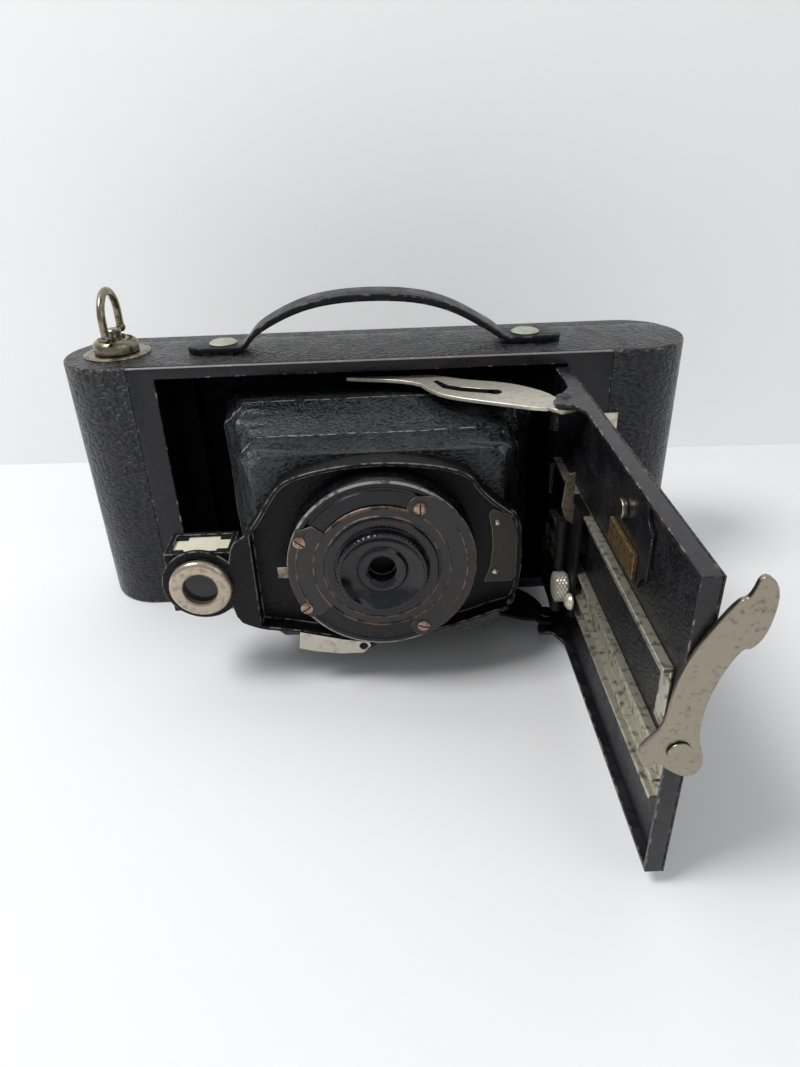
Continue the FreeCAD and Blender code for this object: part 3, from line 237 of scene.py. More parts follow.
# %% Paints and lacquers
# Black japan on pressed steel: a thin glossy coat over brown primer. Its bare colour is a pale
# grey, which on the frame's top strip is a painted highlight line.
black_japan = finish(
    "black japan", "#131316", 0.36, mottle=("#1e1e21", 12.0, 0.45, 0.75),
    grain=("noise", 1.2, 0.04), rubbed=("#8c8480", 0.1), shine=0.35)
# The bed's own edge has been knocked more than the frame.
bed_japan = finish(
    "knocked black japan", "#19191c", 0.36, mottle=("#2a2728", 4.0, 0.45, 0.75),
    grain=("noise", 1.0, 0.05), rubbed=("#77655b", 0.3), shine=0.4)
# Crackle lacquer on the front board, rough to the touch. Its grey bare colour at the edges is
# partly rubbed lacquer and partly a painted highlight along the lips of the board and the finder
# case; its furrows are painted shade.
crackle = finish(
    "crackle lacquer", "#0d0d0f", 0.5, mottle=("#4a453f", 0.8, 0.6, 0.85),
    grain=("pebble", 0.6, 0.2), rubbed=("#6f6c68", 0.7), furrow_shade="#060607", shine=0.2)
dull_black = finish(
    "dull black paint", "#060607", 0.62, shine=0.25, mottle=("#0f0f12", 11.0, 0.45, 0.8),
    grain=("noise", 1.0, 0.03))
# Shutter lacquer: brown-black, with bare brass showing along each stamped edge.
shutter_lacquer = finish(
    "shutter lacquer", "#1b1a1b", 0.42, mottle=("#2f2622", 2.0, 0.45, 0.7),
    grain=("noise", 0.5, 0.06), rubbed=("#6f553d", 0.6))
neck_lacquer = finish(
    "neck plate lacquer", "#17150f", 0.4, mottle=("#2c261b", 1.8, 0.45, 0.7),
    grain=("noise", 0.5, 0.05), rubbed=("#8c7a50", 1.2))
# Drum black: a pale bare colour, which on the drum's front rim is a painted highlight.
drum_black = finish(
    "drum black", "#0c0c0e", 0.3, shine=0.35, mottle=("#18181b", 3.0, 0.45, 0.8),
    grain=("noise", 0.8, 0.04), rubbed=("#8f8c88", 0.9))
hood_black = finish(
    "hood black", "#0c0c0e", 0.28, shine=0.4, mottle=("#1a1a1d", 3.0, 0.45, 0.8),
    grain=("noise", 0.5, 0.02), rubbed=("#4a4540", 0.6), coat=0.15)
# The inside of the camera is black paint, made darker and duller than paint so that it also paints
# the shade in the chamber.
dead_black_and_shade = finish("dead black and painted shade", "#020203", 0.8, shine=0.08)

# %% Metals and wood
# Nickel plate: bright where a hand keeps it clean, brown and pitted where it does not.
nickel = finish(
    "nickel plate", "#c2bcae", 0.3, metal=1.0, mottle=("#948c7c", 3.0, 0.5, 0.8),
    grain=("noise", 0.5, 0.02))
# The finder ring has gone warm with handling.
ring_nickel = finish(
    "finder ring nickel", "#b3a694", 0.36, metal=0.8, mottle=("#8d8172", 1.6, 0.5, 0.75),
    grain=("noise", 0.8, 0.04), rubbed=("#d8cdbd", 0.6))
# The brace is satin, so that it stays bright over the dark chamber.
satin_nickel = finish(
    "satin nickel", "#c4bfb1", 0.42, metal=0.55, mottle=("#a39c8c", 2.6, 0.5, 0.75),
    grain=("noise", 0.6, 0.03), rubbed=("#e3ded2", 0.6))
# The claw that slides the foot has lost most of its plate.
worn_nickel = finish(
    "worn nickel", "#857b6d", 0.4, metal=0.9, mottle=("#4b443b", 1.6, 0.45, 0.7),
    grain=("noise", 0.7, 0.04))
dull_nickel = finish(
    "dull nickel", "#9a9282", 0.4, metal=1.0, mottle=("#7a7262", 1.1, 0.55, 0.75),
    grain=("noise", 0.6, 0.03))
rail_nickel = finish(
    "tarnished rails", "#bdb9a9", 0.4, metal=0.75, mottle=("#626150", 2.0, 0.5, 0.66),
    grain=("noise", 0.6, 0.05))
old_brass = finish(
    "old brass", "#7c6744", 0.45, metal=0.7, mottle=("#3f3224", 1.6, 0.45, 0.7),
    grain=("noise", 0.8, 0.05))
key_metal = finish(
    "key nickel over brass", "#8b8471", 0.34, metal=1.0, mottle=("#4e4a38", 2.4, 0.5, 0.75),
    grain=("noise", 0.7, 0.03))
copper = finish(
    "copper screw", "#a58a78", 0.36, metal=0.9, mottle=("#4b382c", 0.9, 0.5, 0.75),
    grain=("noise", 0.4, 0.03))
verdigris = finish(
    "rivet cap with verdigris", "#a5a493", 0.5, metal=0.35, mottle=("#7f9a86", 1.6, 0.5, 0.7),
    grain=("noise", 0.6, 0.04))
plain_steel = finish(
    "plain steel", "#5c5b58", 0.4, metal=1.0, mottle=("#38352f", 3.0, 0.45, 0.7))
spool_wood = finish("turned spool wood", "#5a3b22", 0.55, mottle=("#3a2415", 3.0, 0.4, 0.65))

# %% Glass
GLASS_IOR = 1.52
# The finder lens is opaque and near black: painted shade of the dark finder box behind it.
finder_glass_shade = finish("finder glass with painted shade", "#0e1112", 0.07)
frosted = finish("ground glass", "#d6d1bd", 0.45, mottle=("#c2bca6", 8.0, 0.4, 0.8), coat=0.2)
silvered = finish("silvered glass", "#c9cccc", 0.08, metal=1.0, rough_spread=0.02)


def clear_glass(name, colour, rough):
    """Glass: light goes through it, and its colour tints what is behind."""
    material = finish(name, colour, rough, mottle=(colour, 9.0, 0.4, 0.6), rough_spread=0.02)
    shader = material.node_tree.nodes["Principled BSDF"]
    shader.inputs["Transmission Weight"].default_value = 1.0
    shader.inputs["IOR"].default_value = GLASS_IOR
    return material


lens_glass = clear_glass("lens glass", "#e8eef0", 0.04)
ruby_glass = clear_glass("ruby glass", "#7a0c08", 0.08)
print("finishes", len(bpy.data.materials))

# %% [markdown]
# ## From a mesh to a piece
# Shapes are drawn in millimetres and shrunk to metres once, at the end. An edge on stamped metal
# is never sharp, so edges are rounded by a fraction of a millimetre, and the rounded strip is
# remembered in a face attribute named edge, where the finishes let the plating rub through, and on
# a few rims lay a painted highlight.

# %% Piece helpers
MERGE = 0.0005
PACKED_MERGE = 0.002
FLAT_ANGLE = math.radians(0.6)


def wear_and_highlight_marks(bm):
    """The face attribute that holds how bare each face shows, from wear or as a painted highlight.
    """
    return bm.faces.layers.float.get("edge") or bm.faces.layers.float.new("edge")


def bevelled(bm, edges, width, segments):
    """Round some edges by a width and give back the new faces."""
    return bmesh.ops.bevel(bm, geom=edges, offset=width, offset_type="OFFSET", segments=segments,
                           profile=0.5, affect="EDGES", clamp_overlap=False, material=-1)["faces"]


def round_edges(bm, width, segments=2, angle=28.0):
    """Round every edge sharper than an angle, and remember the rounded faces."""
    mark = wear_and_highlight_marks(bm)
    sharp = [e for e in bm.edges
             if e.is_manifold and e.calc_face_angle(0.0) > math.radians(angle)]
    for face in bevelled(bm, sharp, width, segments):
        face[mark] = 1.0
    return bm


def cut(bm, place, normal, **sides):
    """Cut a mesh along a plane; clear_inner or clear_outer drops one side of it."""
    bmesh.ops.bisect_plane(bm, geom=bm.verts[:] + bm.edges[:] + bm.faces[:], plane_co=place,
                           plane_no=normal, **sides)


def as_object(bm, name, material):
    """A mesh drawn in metres as an object of the scene, in one material."""
    mesh = bpy.data.meshes.new(name)
    bm.to_mesh(mesh)
    bm.free()
    mesh.materials.append(material)
    thing = bpy.data.objects.new(name, mesh)
    bpy.context.scene.collection.objects.link(thing)
    return thing


def piece(bm, name, material, body, *nodes, smooth=38.0, slot=None):
    """Finish a mesh drawn in millimetres as an object that rides on a body and stands for nodes."""
    bmesh.ops.remove_doubles(bm, verts=bm.verts, dist=MERGE)
    bmesh.ops.recalc_face_normals(bm, faces=bm.faces)
    bmesh.ops.scale(bm, vec=(MM, MM, MM), verts=bm.verts)
    thing = as_object(bm, name, material)
    thing.data.shade_smooth()
    thing.data.set_sharp_from_angle(angle=math.radians(smooth))
    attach(thing, body)
    if nodes:
        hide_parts(*nodes)
    print("piece", name, len(thing.data.polygons), "faces")
    return thing


def thickened(thing, name, thick):
    """Give a skin its thickness in millimetres, drawn inwards."""
    solid = thing.modifiers.new(name, "SOLIDIFY")
    solid.thickness = thick * MM
    solid.offset = -1


def copy_of(node):
    """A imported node's mesh, merged and cleared of its flat inner edges, in millimetres."""
    bm = bmesh.new()
    bm.from_mesh(frame["nodes"][node].data)
    bmesh.ops.scale(bm, vec=(1 / MM, 1 / MM, 1 / MM), verts=bm.verts)
    bmesh.ops.remove_doubles(bm, verts=bm.verts, dist=PACKED_MERGE)
    bmesh.ops.dissolve_limit(bm, angle_limit=FLAT_ANGLE, verts=bm.verts, edges=bm.edges)
    return bm


def softened(node, material, width=0.2, segments=2, smooth=38.0):
    """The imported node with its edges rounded, as a piece that stands for it."""
    bm = copy_of(node)
    if width:
        round_edges(bm, width, segments)
    thing = piece(bm, node + "_soft", material, NODE_BODY[node], node, smooth=smooth)
    # Large flat faces lead the shading, so that they stay flat beside a rounded edge.
    flat = thing.modifiers.new("flat faces lead", "WEIGHTED_NORMAL")
    flat.keep_sharp = True
    flat.weight = 90
    return thing


def soften_each(*rows):
    """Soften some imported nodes; each row is a node, its finish and the width of its edges."""
    for node, material, width in rows:
        softened(node, material, width)


def painted(material, *nodes):
    """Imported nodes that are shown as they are, in a finish of their own."""
    for node in nodes:
        coats = frame["nodes"][node].data.materials
        coats.clear()
        coats.append(material)


AXES = {"x": Vector((1, 0, 0)), "y": Vector((0, 1, 0)), "z": Vector((0, 0, 1))}


def lathe_ways(axis):
    """The way along a lathe's axis, and the way out from it at which a profile is drawn."""
    return AXES[axis], AXES["z"] if axis != "z" else AXES["x"]


def turned(profile, centre, axis="y", steps=64, bm=None):
    """A shape turned on a lathe: each profile point is (radius, distance along the axis)."""
    bm = bm or bmesh.new()
    along, side = lathe_ways(axis)
    verts = [bm.verts.new(Vector(centre) + side * r + along * h) for r, h in profile]
    edges = [bm.edges.new(pair) for pair in zip(verts, verts[1:])]
    bmesh.ops.spin(bm, geom=verts + edges, cent=centre, axis=along, angle=FULL, steps=steps,
                   use_merge=True)
    bmesh.ops.remove_doubles(bm, verts=bm.verts, dist=MERGE)
    return bm


# The rows of a knurl follow each other along the axis at this pitch in mm.
KNURL_PITCH = 0.5


def knurl(bm, centre, axis, least, depth, teeth, low, high):
    """Press teeth into the rim of a turned shape, beyond a least radius and between two heights:
    every other column goes in, row by row."""
    along, side = lathe_ways(axis)
    across = along.cross(side)
    for vert in bm.verts:
        arm = vert.co - Vector(centre)
        height = arm.dot(along)
        radial = arm - along * height
        if radial.length < least or not low <= height <= high:
            continue
        turn = math.atan2(radial.dot(across), radial.dot(side)) / FULL * teeth * 2
        row = round((height - low) / KNURL_PITCH)
        if (round(turn) + row) % 2:
            vert.co -= radial.normalized() * depth
    return bm


def bar(low, high, bm=None):
    """A plain block between two corners."""
    bm = bm or bmesh.new()
    low, high = Vector(low), Vector(high)
    made = bmesh.ops.create_cube(bm, size=1.0)
    bmesh.ops.scale(bm, vec=high - low, verts=made["verts"])
    bmesh.ops.translate(bm, vec=(low + high) / 2, verts=made["verts"])
    return bm


def draw_out(bm, faces, thick):
    """Draw faces out by a vector into a solid."""
    made = bmesh.ops.extrude_face_region(bm, geom=faces)
    moved = [g for g in made["geom"] if isinstance(g, bmesh.types.BMVert)]
    bmesh.ops.translate(bm, vec=thick, verts=moved)


def slab(points, thick):
    """A flat face through a few corners, drawn out by a vector."""
    bm = bmesh.new()
    draw_out(bm, [bm.faces.new([bm.verts.new(point) for point in points])], thick)
    return bm


# %% [markdown]
# ## Casing
# The covering is one sheet of leatherette round the ends and over the top and bottom. It is drawn
# as the casing's outline, drawn up to its height, rounded along the rims, opened at the front and
# back, and given the thickness of the cloth. The enamelled frame fills the front edge.

# %% Casing covering
CASE_LOW, CASE_HIGH = corner("body_leather", 0), corner("body_leather", 1)
FRAME_LOW, FRAME_HIGH = corner("front_frame", 0), corner("front_frame", 1)
SEAM_Y = CASE_HIGH.y
LIP = 1.5
END_RADIUS = -CASE_LOW.y
END_X = CASE_HIGH.x - END_RADIUS
END_STEPS = 28
RIM_ROUND, RIM_ANGLE = 0.9, 1.2
CLOTH_THICK = 0.5
# The upper front corner of the right end, beyond this place, is the most knocked.
KNOCKED = Vector((END_X + 12, -6, CASE_HIGH.z - 2))
KNOCKED_WEAR = 1.6

outline = [Vector((x, y, 0)) for x, y in (
    (FRAME_LOW.x, CASE_LOW.y), (FRAME_LOW.x, CASE_LOW.y + LIP),
    (FRAME_HIGH.x, CASE_LOW.y + LIP), (FRAME_HIGH.x, CASE_LOW.y))]
for end_x, start in ((END_X, -0.5), (-END_X, 0.5)):
    for step in range(END_STEPS + 1):
        turn = math.pi * (step / END_STEPS + start)
        outline.append(Vector((end_x + END_RADIUS * math.cos(turn),
                               END_RADIUS * math.sin(turn), 0)))
bm = slab(outline, (0, 0, CASE_HIGH.z))
cut(bm, (0, SEAM_Y, 0), (0, 1, 0), clear_outer=True)


def is_rim(edge):
    """Whether an edge is a sharp rim of the covering, away from the seam and the frame."""
    if len(edge.link_faces) != 2 or edge.calc_face_angle(0) <= RIM_ANGLE:
        return False
    if all(face.normal.z for face in edge.link_faces):
        return False
    behind = any(vert.co.y >= SEAM_Y - 0.01 for vert in edge.verts)
    at_frame = all(FRAME_LOW.x - 0.1 < vert.co.x < FRAME_HIGH.x + 0.1 for vert in edge.verts)
    return not behind and not at_frame


mark = wear_and_highlight_marks(bm)
for face in bevelled(bm, [e for e in bm.edges if is_rim(e)], RIM_ROUND, 3):
    place = face.calc_center_median()
    knocked = place.x > KNOCKED.x and place.y < KNOCKED.y and place.z > KNOCKED.z
    face[mark] = KNOCKED_WEAR if knocked else 1.0
front = [f for f in bm.faces if abs(f.normal.y) > 0.99
         and abs(f.calc_center_median().y - CASE_LOW.y - LIP) < 0.2]
bmesh.ops.delete(bm, geom=front, context="FACES")
thickened(piece(bm, "casing_covering", casing_leather, "casing", "body_leather"),
          "cloth", CLOTH_THICK)

# %% Front frame
OPEN_LEFT, OPEN_RIGHT = -71.2, 62.2
OPEN_LOW, OPEN_HIGH = 4.0, 86.0
FRAME_FOOT, FRAME_HEAD = 0.1, CASE_HIGH.z - 0.05
# The strip along the top is marked nearly bare, so that the pale bare colour of the japan lies
# along it as a painted highlight.
TOP_STRIP_Z, TOP_STRIP_HIGHLIGHT = CASE_HIGH.z - 0.7, 1.75

bm = bmesh.new()
outer, inner = (
    [bm.verts.new((x, CASE_LOW.y, z))
     for x, z in ((left, low), (right, low), (right, high), (left, high))]
    for left, right, low, high in ((FRAME_LOW.x, FRAME_HIGH.x, FRAME_FOOT, FRAME_HEAD),
                                   (OPEN_LEFT, OPEN_RIGHT, OPEN_LOW, OPEN_HIGH)))
for i in range(4):
    bm.faces.new((outer[i], outer[(i + 1) % 4], inner[(i + 1) % 4], inner[i]))
draw_out(bm, bm.faces[:], (0, LIP, 0))
bmesh.ops.recalc_face_normals(bm, faces=bm.faces)
round_edges(bm, 0.45, 3)
mark = wear_and_highlight_marks(bm)
for face in bm.faces:
    if face[mark] and face.calc_center_median().z > TOP_STRIP_Z:
        face[mark] = TOP_STRIP_HIGHLIGHT
piece(bm, "front_frame_metal", black_japan, "casing", "front_frame")
painted(dead_black_and_shade, "shell_top", "shell_base", "take_up_end", "supply_end", "film_frame")
painted(plain_steel, "bed_hinge_pin")

# %% Back
soften_each(
    ("back_leather", casing_leather, 0.25), ("back_cover", dull_black, 0.0),
    ("red_window", ruby_glass, 0.1), ("film_note_door", black_japan, 0.2),
    ("note_door_hinge", plain_steel, 0.1), ("stylus", nickel, 0.0),
    ("tripod_bush", dull_nickel, 0.15), ("back_lock_tab", nickel, 0.25))

# %% [markdown]
# ## Winding key
# A plated disc lies on the leatherette, a stepped boss turns in it, and a loop of thick wire
# stands on the boss. The two turned pieces start as half profiles and are spun; the loop is the
# packed sweep, smoothed.

# %% Key
KEY = middle("key_flange")
TOP = CASE_HIGH.z
BOSS_LOW = TOP + 1.0
KEY_DISC = [(3.2, 0), (11.0, 0), (11.0, 0.35), (10.3, 0.8), (8.2, 0.62), (3.2, 0.62), (3.2, 0)]
KEY_BOSS = [(0, 0), (7.4, 0), (7.4, 2.2), (7.0, 3.2), (6.0, 3.9), (5.3, 3.6), (4.9, 3.0),
            (4.6, 3.9), (4.2, 4.1), (2.5, 4.0), (2.5, 6.9), (2.1, 7.3), (0, 7.3)]
KEY_STEM = [(0, 0), (3.0, 0), (3.0, 9.6), (0, 9.6)]
piece(turned(KEY_DISC, (KEY.x, KEY.y, TOP), "z", 64), "key_disc", key_metal, "casing",
      "key_flange")
bm = turned(KEY_BOSS, (KEY.x, KEY.y, BOSS_LOW), "z", 48)
# A ridge across the boss carries the loop, and a stem goes down to the spool.
bar((KEY.x - 1.5, KEY.y - 6.1, BOSS_LOW + 3.0), (KEY.x + 1.5, KEY.y + 6.1, BOSS_LOW + 4.1), bm)
turned(KEY_STEM, (KEY.x, KEY.y, BOSS_LOW - 9.5), "z", 24, bm)
piece(bm, "key_boss_turned", key_metal, "winding_key", "key_boss")
softened("key_bail", key_metal, 0.0, smooth=60)

# %% Spools and rollers
soften_each(
    ("take_up_spool", spool_wood, 0.2), ("supply_spool", spool_wood, 0.2),
    ("film_roller_left", plain_steel, 0.15), ("film_roller_right", plain_steel, 0.15))

# %% [markdown]
# ## Carrying strap
# Bridle leather, creased along both edges by a hot tool, held by a domed cap at each end. The
# packed sweep has the right line; its edges are rounded, and its finish adds the two crease lines
# at a real distance from the strap's middle.

# %% Strap
CREASE_OUT, CREASE_WIDE, CREASE_DEEP = 4.3, 0.5, 0.25
bm = copy_of("carry_strap")
round_edges(bm, 0.55, 3, 40)
piece(bm, "strap_soft", strap_leather, "casing", "carry_strap", smooth=50)
tree = strap_leather.node_tree
shader = tree.nodes["Principled BSDF"]
place = add(tree, "TexCoord").outputs["Object"]
across = add(tree, "SeparateXYZ", links={0: place}).outputs[1]
off_middle = calc(tree, "ABSOLUTE", calc(tree, "ADD", across, -middle("carry_strap").y * MM))
off_crease = calc(tree, "ABSOLUTE", calc(tree, "SUBTRACT", off_middle, CREASE_OUT * MM))
crease = add(tree, "MapRange", links={"Value": off_crease},
             values={"From Max": CREASE_WIDE * MM})
bump = add(tree, "Bump", links={"Height": crease.outputs["Result"],
                                "Normal": shader.inputs["Normal"].links[0].from_socket},
           values={"Strength": 0.9, "Distance": CREASE_DEEP * MM})
tree.links.new(bump.outputs["Normal"], shader.inputs["Normal"])

# %% Strap caps
CAP_X = 51.0
CAP = [(0, 0.05), (4.5, 0.05), (4.7, 0.3), (4.1, 0.75), (2.4, 1.05), (0, 1.15)]
bm = bmesh.new()
for side in (-1, 1):
    turned(CAP, (side * CAP_X, middle("strap_rivets").y, corner("strap_rivets", 0).z), "z", 40, bm)
piece(bm, "strap_caps", verdigris, "casing", "strap_rivets")

# %% [markdown]
# ## Bellows
# A bellows is one skin folded over card stiffeners. It starts as one ring at the gate. The ring is
# drawn forward fold by fold, in and out, and tapers towards the front. Then the mesh is divided
# and every point is moved a little by noise, more at the corners, because old leather puckers
# there.

# %% Shape of the folds
GATE_Y = corner("bellows", 1).y
BOARD_Y = corner("bellows", 0).y
AXIS_Z = 45.0
# Each fold line from the gate to the board: its place along y, how far the skin stands out to the
# side and to the top, and how much of the corner folds in. Sides and top take turns.
FOLD_LINES = [(2.0, 53.0, 31.2, 3.0), (-22.5, 50.0, 33.6, 7.5), (-33.0, 44.0, 32.0, 2.4),
              (-43.5, 43.0, 29.8, 6.5), (-54.0, 38.5, 30.6, 2.2)]
SHOULDERS = [(GATE_Y, 54.6, 35.0, 2.2)] + FOLD_LINES + [(BOARD_Y, 36.0, 31.0, 4.0)]
GLUED_RING = (22.0, 20.0, 3.0)


def half_at(y):
    """How far the skin stands out to the side and to the top at one place along y."""
    for (y0, x0, z0, _), (y1, x1, z1, _) in zip(SHOULDERS, SHOULDERS[1:]):
        if y >= y1:
            share = min(max((y0 - y) / (y0 - y1), 0.0), 1.0)
            return Vector((x0, z0)).lerp(Vector((x1, z1)), share)
    return Vector(SHOULDERS[-1][1:3])


def corner_way(place):
    """How far a place on the skin lies from the nearest corner of the bellows."""
    half = half_at(place.y)
    return Vector((half.x - abs(place.x), half.y - abs(place.z - AXIS_Z))).length


def ring_points(x, z, cut_in):
    """The eight corners of a fold line."""
    return [(x, z - cut_in), (x - cut_in, z), (-x + cut_in, z), (-x, z - cut_in),
            (-x, -z + cut_in), (-x + cut_in, -z), (x - cut_in, -z), (x, -z + cut_in)]


def turn_of(x, z):
    """The angle of a point round the lens axis, to keep the eight corners in order."""
    return math.atan2(z, x) % FULL


def next_ring(bm, edges, points, y):
    """Draw the last ring on to new corners."""
    made = bmesh.ops.extrude_edge_only(bm, edges=edges)["geom"]
    fresh = [g for g in made if isinstance(g, bmesh.types.BMVert)]
    fresh.sort(key=lambda v: turn_of(v.co.x, v.co.z - AXIS_Z))
    for vert, (x, z) in zip(fresh, sorted(points, key=lambda p: turn_of(*p))):
        vert.co = (x, y, AXIS_Z + z)
    return [g for g in made if isinstance(g, bmesh.types.BMEdge) and g.is_boundary]


# %% Bellows
SKIN_THICK = 0.5
FOLD_WEAR = 0.9
# Noise over the whole skin: how fine it is per mm, and how far it moves a point in mm.
SWAY_SCALE, SWAY = 0.1, 0.4
# Noise that puckers the corners: how fine, how far everywhere, how far more at a corner, and how
# far from the corner it reaches.
PUCKER_SCALE, PUCKER_LEAST, PUCKER, PUCKER_REACH = 0.28, 0.1, 2.6, 11.0
# The noise dies out over this way to the gate and to the board, where the skin is held.
GATE_CALM, BOARD_CALM = 30, 3
# The noise takes its places from a seed, so that the folds come out the same each run.
NOISE_SEED = 7

bm = bmesh.new()
verts = [bm.verts.new((x, GATE_Y, AXIS_Z + z)) for x, z in ring_points(*SHOULDERS[0][1:])]
edges = [bm.edges.new((verts[i], verts[(i + 1) % 8])) for i in range(8)]
for y, x, z, cut_in in SHOULDERS[1:]:
    edges = next_ring(bm, edges, ring_points(x, z, cut_in), y)
# The last ring turns in behind the board, where the skin is glued.
next_ring(bm, edges, ring_points(*GLUED_RING), BOARD_Y)
mark = wear_and_highlight_marks(bm)
bmesh.ops.subdivide_edges(bm, edges=bm.edges[:], cuts=9, use_grid_fill=True)
# Every second fold line is rounded to a narrow strip, where the skin has rubbed.
for line in FOLD_LINES[1::2]:
    ridge = [e for e in bm.edges if all(abs(v.co.y - line[0]) < 0.01 for v in e.verts)]
    made = bmesh.ops.bevel(bm, geom=ridge, offset=0.35, segments=1, affect="EDGES")
    for face in made["faces"]:
        face[mark] = FOLD_WEAR
noise.seed_set(NOISE_SEED)
for vert in bm.verts:
    crumple = max(1.0 - corner_way(vert.co) / PUCKER_REACH, 0.0)
    push = (noise.noise_vector(vert.co * SWAY_SCALE) * SWAY
            + noise.noise_vector(vert.co * PUCKER_SCALE) * (PUCKER_LEAST + crumple * PUCKER))
    ends = min((GATE_Y - vert.co.y) / GATE_CALM, (vert.co.y - BOARD_Y) / BOARD_CALM, 1.0)
    vert.co += push * max(ends, 0.0)
bm.normal_update()
for face in bm.faces:
    if corner_way(face.calc_center_median()) < 1.4 and abs(face.normal.y) < 0.9:
        face[mark] = FOLD_WEAR
folds = piece(bm, "bellows_folds", bellows_leather, "lens_front", "bellows", smooth=70)
thickened(folds, "skin", SKIN_THICK)
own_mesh(folds)

# %% [markdown]
# ## Lens front
# The board is pressed steel with a turned-up lip and crackle lacquer. The shutter is a drum with a
# stamped face plate whose brass shows along every edge. The hood is turned and knurled.

# %% Board
softened("lens_board", crackle, 0.28)
softened("neck_plate", neck_lacquer, 0.2)
NECK_LOW, NECK_HIGH = corner("neck_plate", 0), corner("neck_plate", 1)
NECK_RIVET = [(0, -0.55), (0.6, -0.5), (1.0, -0.2), (1.05, 0.05), (0, 0.05)]
bm = bmesh.new()
for x, z in ((NECK_LOW.x + 3.6, NECK_HIGH.z - 4.4), (NECK_LOW.x + 3.4, NECK_LOW.z + 3.6)):
    turned(NECK_RIVET, (x, NECK_LOW.y, z), "y", 20, bm)
piece(bm, "neck_rivets", nickel, "lens_front", slot="nickel")

# %% Shutter
FACE_Y = corner("shutter_housing", 0).y
DEEP = corner("shutter_housing", 1).y - FACE_Y
# From the outer back edge forward over the rim, across the face and back to the start.
DRUM = [(25.2, DEEP), (27.6, DEEP), (27.6, 1.0), (27.3, 0.35), (26.6, 0), (25.6, 0),
        (25.3, 0.25), (24.6, 0.3), (24.3, 0), (11.5, 0), (11.5, 1.2), (25.2, 1.4), (25.2, DEEP)]
# The front rim is marked bare all round: its pale bare colour is a painted highlight along the rim.
DRUM_RIM, DRUM_RIM_HIGHLIGHT = 26.9, 1.2


def off_axis(place):
    """How far a place lies from the lens axis."""
    return Vector((place.x, place.z - AXIS_Z)).length


bm = turned(DRUM, (0, FACE_Y, AXIS_Z), "y", 128)
mark = wear_and_highlight_marks(bm)
for face in bm.faces:
    place = face.calc_center_median()
    if off_axis(place) > DRUM_RIM and place.y < FACE_Y + 0.5:
        face[mark] = DRUM_RIM_HIGHLIGHT
piece(bm, "shutter_drum", drum_black, "lens_front", "shutter_housing")
softened("shutter_face_plate", shutter_lacquer, 0.22)

# %% Beads pressed into the face plate
PLATE_Y = corner("shutter_face_plate", 0).y
bm = bmesh.new()
for radius in (16.9, 19.7, 24.6):
    turned([(radius - 0.35, 0.05), (radius - 0.15, -0.2), (radius + 0.15, -0.2),
            (radius + 0.35, 0.05)], (0, PLATE_Y, AXIS_Z), "y", 128, bm)


def is_bead(face):
    """Whether a face of the turned rings is kept: the outer ring is stamped at the sides alone."""
    place = face.calc_center_median()
    return off_axis(place) <= 21 or abs(place.z - AXIS_Z) < 12


bmesh.ops.delete(bm, geom=[f for f in bm.faces if not is_bead(f)], context="FACES")
mark = wear_and_highlight_marks(bm)
for face in bm.faces:
    face[mark] = 1.0
piece(bm, "face_beads", shutter_lacquer, "lens_front", slot="brown_lacquer")

# %% Hood
# From the foot of the collar over the knurled rim, down the bowl and into the throat.
HOOD = [(16.3, 0.1), (16.3, -0.35), (15.9, -0.6), (13.7, -0.6), (13.5, -0.4), (13.1, -0.6),
        (13.1, -1.2), (13.1, -1.8), (13.1, -2.4), (13.1, -3.0), (12.6, -3.35), (11.9, -3.35),
        (11.6, -3.0), (10.4, -2.3), (9.0, -1.5), (7.5, -1.0), (7.1, -1.3), (6.7, -1.65),
        (6.2, -1.65), (4.6, -0.9), (4.1, -0.6), (4.1, 3.0), (10.6, 3.0), (10.8, 0.1), (16.3, 0.1)]
LENS_FACE = (0, PLATE_Y, AXIS_Z)
bm = turned(HOOD, LENS_FACE, "y", 240)
knurl(bm, LENS_FACE, "y", least=13.05, depth=0.28, teeth=60, low=-3.1, high=-1.0)
piece(bm, "hood_turned", hood_black, "lens_front", "lens_hood", smooth=30)

# %% Screws of the face plate
SCREWS = [(-22.9, 9.6), (11.2, 18.8), (-22.7, -12.6), (11.6, -20.6)]
SCREW_HEAD = [(0, -0.9), (1.2, -0.85), (1.8, -0.5), (1.9, 0), (0, 0)]
SLOT_HALF = Vector((1.6, 0.08, 0.2))
bm = bmesh.new()
for x, z in SCREWS:
    turned(SCREW_HEAD, (x, PLATE_Y, AXIS_Z + z), "y", 28, bm)
piece(bm, "plate_screws", copper, "lens_front", "face_plate_screws")
# Thin black bars across the heads are painted shade for their slots.
bm = bmesh.new()
for number, (x, z) in enumerate(SCREWS):
    heart = Vector((x, PLATE_Y - 0.88, AXIS_Z + z))
    bar(heart - SLOT_HALF, heart + SLOT_HALF, bm)
    bmesh.ops.rotate(bm, cent=heart, matrix=Matrix.Rotation(0.7 + number * 0.9, 3, "Y"),
                     verts=bm.verts[-8:])
piece(bm, "screw_slot_shade", dull_black, "lens_front", slot="shutter_black")

# %% Small levers and glass
# The tab of the aperture lever is worn short.
TAB_SHORT = 2.6
bm = copy_of("aperture_lever")
cut(bm, (corner("aperture_lever", 0).x + TAB_SHORT, 0, 0), (1, 0, 0), clear_inner=True)
bmesh.ops.holes_fill(bm, edges=[e for e in bm.edges if e.is_boundary])
round_edges(bm, 0.15, 2)
piece(bm, "lever_tab", worn_nickel, "stop", "aperture_lever")
soften_each(
    ("lens_cell", dull_black, 0.15), ("shutter_blade", dull_black, 0.0),
    ("release_lever", nickel, 0.18))
painted(lens_glass, "taking_lens")

